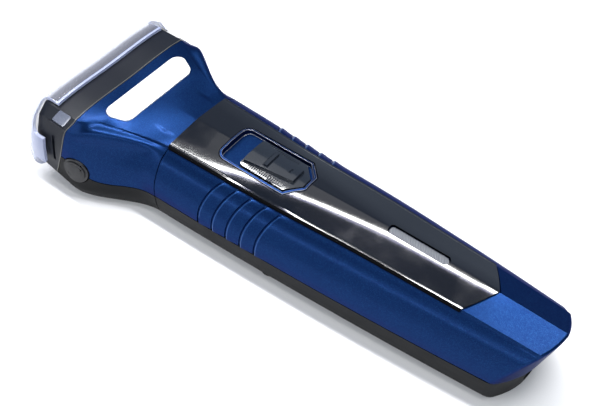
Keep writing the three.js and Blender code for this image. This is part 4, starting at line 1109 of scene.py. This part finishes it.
def foilArch(height, grow, half, thick=0):  # rounded bar over one foil's place, or a bent sheet
    radius = nose["foil radius"] + grow
    foot = nose["foil centre"] + 2.2 + grow
    arc = [(nose["foil centre"] - sin(a) * radius, height - cos(a) * radius) for a in steps(0, pi, 28)]
    outline = [(foot, height - radius)] + arc + [(foot, height + radius)]
    if thick:
        inner = [(nose["foil centre"] - sin(a) * (radius - thick), height - cos(a) * (radius - thick))
                 for a in steps(pi, 0, 28)]
        outline += [(foot, height + radius - thick)] + inner + [(foot, height - radius + thick)]
    return drawnOut([(x, -half, z) for x, z in outline], (0, 2 * half, 0))


def windowPrism(side, grow):
    first, last = frameCut["window"][0] + grow, frameCut["window"][1] - grow
    inner, outer = frameCut["window inner"] - grow, frameCut["window outer"] + grow
    slant = frameCut["slant"]
    plan = [(first, inner), (first - slant, outer), (last - slant, outer), (last, inner)]
    return slab([(x, side * y) for x, y in plan], frameCut["low"] - grow, 40, 0.45, 3)


def foilFrame():
    skin = noseSkin(lambda z: jointAt(z) - form["seamGap"], nose["deck"])
    shell = thickened(skin, nose["wall"])
    slots = [foilArch(height, nose["gap"], nose["foil half"] + nose["gap"]) for height in nose["heights"]]
    seats = []
    for side in (-1, 1):
        keep = thickened(noseSkin(lambda z: -22, nose["deck"]), 1.0)
        seats.append(joined(keep, "INTERSECT", [windowPrism(side, 0.15)]))
    return added(cut(shell, *slots, *seats, *mirrored(*frameCut["clip"])), *mirrored(*frameCut["latch"]))


glintLip = {"from": -0.22, "to": 0.02, "proud": 0.02, "thick": 0.5}


# the lip's pale tan is a painted highlight along the frame's rim
def jointGlintLip():  # a thin pale lip along the frame's rear edge
    def place(shift, column):
        s, side = column
        return nosePoint(jointAt(outlinePoint(-32, s).y) - form["seamGap"] + shift, s, side, glintLip["proud"])

    return thickened(mended(formedGrid([glintLip["from"], glintLip["to"]], ringColumns, place)), glintLip["thick"])


def frameWindow(side):
    skin = thickened(noseSkin(lambda z: -22, nose["deck"], 0.08), 0.8)
    return joined(skin, "INTERSECT", [windowPrism(side, 0)])


settle(foilFrame(), "foilFrame", "foils", charcoal, ["foil_frame"], bevel=0.25,
       segments=3, angle=22, sharp=24)
settle(jointGlintLip(), "jointGlintLip", "foils", rimHighlightTan, bevel=0)
for side, hand in hands:
    # the windows' edge bevels take the painted edge highlight
    settle(frameWindow(side), "frameWindow." + hand, "foils", clearWindow,
           ["frame_window_" + hand], bevel=0.28, edges=edgeHighlight)
for height, name in zip(nose["heights"], ("rear", "front")):
    settle(foilArch(height, 0, nose["foil half"], nose["foil"]), "foil." + name, "foils", foilSteel,
           ["foil_" + name], bevel=0)
print("head: foil frame and foils")


# protective cap

cap = {"rim": -34.2, "reach": -44, "wall": 0.95, "widen": 0.9, "grow": 1.15, "notch": 21.5, "tab": (10, 18.5),
       "tab reach": -35.2}


def protectiveCap():
    shell = thickened(noseSkin(lambda z: cap["rim"], cap["reach"], cap["grow"], cap["widen"]), cap["wall"])
    low, high = cap["tab"]
    notches = []
    for first, bottom, top in ((nose["deck"], high, 40), (nose["deck"], -5, low), (cap["tab reach"], -5, 40)):
        for piece in mirrored((first, cap["notch"], bottom), (0, 45, top)):
            notches.append(rounded(piece, 2.2, 6, lambda e: abs(e.verts[0].co.y - e.verts[1].co.y) > 1))
    return cut(shell, *notches)


settle(protectiveCap(), "protectiveCap", "cap", clearCap, ["protective_cap"], bevel=0.3,
       segments=3)
print("head: protective cap")


# release buttons, cutters and drive

button = {"x": -24.8, "z": 10.9, "radius": 4.2, "flange": 5.0, "seat": 22.4, "bore": 3.4, "proud": 0.6}


def releaseButton(side):
    face = max(outlinePoint(button["x"], stationAt(button["x"], button["z"] + dz)).x for dz in (-4, 0, 4))
    profile = [(button["bore"], 0), (button["flange"], 0), (button["flange"], 0.9), (button["radius"], 0.9)]
    profile += [(button["radius"], face - button["seat"])]
    profile += [(r, face - button["seat"] + 0.01) for r in (4.0, 3.4, 2.5, 1.4, 0.4)]
    bm = turned(profile, 48, "y", (button["x"], button["seat"], button["z"]))
    for vert in bm.verts:
        if vert.co.y > face - 1e-3:
            surfaceAt = outlinePoint(vert.co.x, stationAt(vert.co.x, vert.co.z)).x
            away = sqrt((vert.co.x - button["x"])**2 + (vert.co.z - button["z"])**2)
            fall = 0.3 * ease(3.3, 4.2, away)
            vert.co.y = surfaceAt + button["proud"] - fall - 0.25 * (1 - ease(0, 3, away))
    if side < 0:
        bmesh.ops.scale(bm, vec=(1, -1, 1), verts=bm.verts)
        bmesh.ops.reverse_faces(bm, faces=bm.faces)
    bore = rod(button["bore"], button["seat"] - 1, button["seat"] + 3.8, "y" if side > 0 else "-y",
               (button["x"], 0, button["z"]), 40)
    return cut(bm, bore)


def refined(names, body, material, bevel=0.15, angle=30):
    # carries over CAD nodes as they are, merged, with softened edges
    for name in names:
        bm = bmesh.new()
        bm.from_mesh(nodes[name].data)
        bmesh.ops.remove_doubles(bm, verts=bm.verts, dist=1e-6)
        bmesh.ops.scale(bm, vec=(1000, 1000, 1000), verts=bm.verts)
        bmesh.ops.translate(bm, vec=(-headJoint, 0, 0), verts=bm.verts)
        bmesh.ops.dissolve_limit(bm, angle_limit=radians(0.5), verts=bm.verts, edges=bm.edges)
        words = name.split("_")
        settle(bm, words[0] + "".join(word.capitalize() for word in words[1:]), body, material, [name],
               bevel=bevel, angle=angle)


for side, hand in hands:
    settle(releaseButton(side), "releaseButton." + hand, "release_button_" + hand, buttonDark,
           ["release_button_" + hand], bevel=0.12)


coiled = {"radius": 2.4, "wire": 0.3, "turns": 4, "seat": 20.6, "long": 3.6}


def coil(radius, wire, turns, axis, at, height):
    bm = bmesh.new()
    ring = bmesh.ops.create_circle(bm, cap_ends=True, radius=wire, segments=12)["verts"]
    bmesh.ops.rotate(bm, cent=(0, 0, 0), matrix=Matrix.Rotation(pi / 2, 3, "X"), verts=ring)
    bmesh.ops.translate(bm, vec=(radius, 0, 0), verts=ring)
    bmesh.ops.spin(bm, geom=bm.faces[:] + bm.edges[:] + bm.verts[:], cent=(0, 0, 0), axis=(0, 0, 1),
                   angle=2 * pi * turns, dvec=(0, 0, height / (24 * turns)), steps=24 * turns,
                   use_duplicate=False)
    bmesh.ops.recalc_face_normals(bm, faces=bm.faces)
    turnTo(bm, axis)
    bmesh.ops.translate(bm, vec=at, verts=bm.verts)
    return bm


for side, hand in hands:
    spring = coil(coiled["radius"], coiled["wire"], coiled["turns"], "y" if side > 0 else "-y",
                  (button["x"], side * coiled["seat"], button["z"]), coiled["long"])
    settle(spring, "releaseSpring." + hand, "head", shavingSteel, ["release_spring_" + hand],
           bevel=0)


comb = {"radius": 4.35, "back": -34.8, "half": 19.8, "slots": 27, "slot half": 0.42}


def cutterBar(height):
    radius, back, half = comb["radius"], comb["back"], comb["half"]
    arc = [(nose["foil centre"] - sin(a) * radius, height - cos(a) * radius) for a in steps(0, pi, 20)]
    outline = [(back, height - 3.4), (-36, height - radius)] + arc
    outline += [(-36, height + radius), (back, height + 3.4)]
    bar = drawnOut([(x, -half, z) for x, z in outline], (0, 2 * half, 0))
    slots = [block((-60, y - comb["slot half"], height - 8), (-38, y + comb["slot half"], height + 8))
             for y in steps(-half + 1, half - 1, comb["slots"] - 1)]
    return cut(bar, *slots)


for height, name in zip(nose["heights"], ("rear", "front")):
    settle(cutterBar(height), "cutter." + name, "cutters", shavingSteel, ["cutter_" + name],
           bevel=0)
print("head: buttons, springs and cutters")

refined(["neck_plug", "head_deck"], "head", charcoal)
refined(["drive_bridge"], "cutters", nylonWhite)
refined(["cutter_spring_rear", "cutter_spring_front"], "cutters", shavingSteel, 0)
refined(["motor_shaft"], "rotor", shavingSteel, 0.05)
refined(["drive_crank"], "rotor", brassPin, 0.1)
refined(["motor_can"], "handle", motorSteel, 0.3)
refined(["motor_bulkhead", "battery_cradle"], "handle", nylonWhite)
refined(["battery_cell"], "handle", cellWrap, 0.2)
refined(["battery_tab_front", "battery_tab_rear", "slide_switch"], "handle", nickelStrip, 0.05)
refined(["circuit_board"], "handle", boardGreen, 0.08)
refined(["charge_lamp"], "handle", lampClear, 0.08)
refined(["switch_carrier", "switch_knob"], "power_switch", nylonWhite)
print("inside: drive, cell and board")


# floor, light and camera

stage = {"floor size": 4, "floor color": 0.86, "floor lift": 0.04,
         "above": 0.16, "behind": 0.5, "before": 0.42,
         "strip": {"at": (-0.15, 0.085, 0.5), "turn": (0, 0, 0), "size": (0.66, 0.03), "power": 3.9},
         "sheen": {"at": (-0.15, 0.052, 0.5), "turn": (0, 0, 0), "size": (0.66, 0.026), "power": 0.22,
                   "color": (0.6, 0.6, 1)},
         "front": {"at": (-0.1, -0.75, 0.4), "turn": (62, 0, 0), "size": (1.7, 0.6), "power": 2.6},
         "edge": {"at": (-0.1, -0.6, 0.33), "turn": (60, 0, 0), "size": (1.5, 0.02), "power": 1.2},
         "tail": {"at": (0.105, -0.055, 0.5), "turn": (0, 0, 0), "size": (0.15, 0.1), "power": 0.6},
         "wide": {"at": (0.0, 0.35, 0.95), "turn": (-20, 0, 0), "size": (1.2, 0.4), "power": 1.0}}


def areaLight(name, at, turn, size, power, color=(1, 1, 1)):
    light = bpy.data.lights.new(name, "AREA")
    light.shape = "RECTANGLE"
    light.size, light.size_y = size
    light.energy = power
    light.color = color
    lamp = bpy.data.objects.new(name, light)
    lamp.location = at
    lamp.rotation_euler = [radians(angle) for angle in turn]
    scene.collection.objects.link(lamp)


floorMesh = bmesh.new()
bmesh.ops.create_grid(floorMesh, x_segments=1, y_segments=1, size=stage["floor size"] / 2)
floor = looseObject(floorMesh)
floor.name = "floor"
floorPaint = surface("floorPaint", moulded, {"Color": (stage["floor color"],) * 3, "Roughness": 0.9,
                                             "Wear": 0.0}, shine=0.1)
tree = floorPaint.node_tree
path = node(tree, "LightPath")
seen = math(tree, "ADD", math(tree, "ADD", path.outputs["Is Camera Ray"], path.outputs["Is Glossy Ray"]),
            path.outputs["Is Transmission Ray"], True)
paint = tree.nodes["Principled BSDF"]
paint.inputs["Emission Color"].default_value = (1, 1, 1, 1)
tree.links.new(math(tree, "MULTIPLY", seen, stage["floor lift"]), paint.inputs["Emission Strength"])
floor.data.materials.append(floorPaint)

world = bpy.data.worlds.new("studio")
scene.world = world
world.use_nodes = True
tree = world.node_tree
background = tree.nodes["Background"]
background.inputs["Color"].default_value = (0.7, 0.82, 1, 1)
heading = node(tree, "SeparateXYZ", n0=node(tree, "TexCoord").outputs["Generated"])
behind = node(tree, "MapRange", {"clamp": True, "interpolation_type": "SMOOTHSTEP"},
              n0=heading.outputs[1], n1=0.3, n2=1.0, n3=0.0, n4=stage["behind"] - stage["above"])
before = node(tree, "MapRange", {"clamp": True, "interpolation_type": "SMOOTHSTEP"},
              n0=math(tree, "MULTIPLY", heading.outputs[1], -1.0), n1=0.2, n2=0.7, n3=0.0,
              n4=stage["before"] - stage["above"])
glow = math(tree, "ADD", math(tree, "ADD", behind.outputs[0], before.outputs[0]), stage["above"])
tree.links.new(glow, background.inputs["Strength"])

for name in ("strip", "sheen", "front", "edge", "tail", "wide"):
    areaLight(name, **stage[name])

view = {"lens": 53.53, "sensor": 36, "at": (0.0983, -0.1262, 0.2081), "azimuth": 37.79, "elevation": 50.37}
camera = bpy.data.objects.new("camera", bpy.data.cameras.new("camera"))
camera.data.lens = view["lens"]
camera.data.sensor_width = view["sensor"]
camera.location = view["at"]
azimuth, elevation = radians(view["azimuth"]), radians(view["elevation"])
looking = Vector((-sin(azimuth) * cos(elevation), cos(azimuth) * cos(elevation), -sin(elevation)))
camera.rotation_mode = "QUATERNION"
camera.rotation_quaternion = looking.to_track_quat("-Z", "Y")
camera.data.clip_start = 0.01
scene.collection.objects.link(camera)
scene.camera = camera
scene.view_settings.view_transform = "Standard"
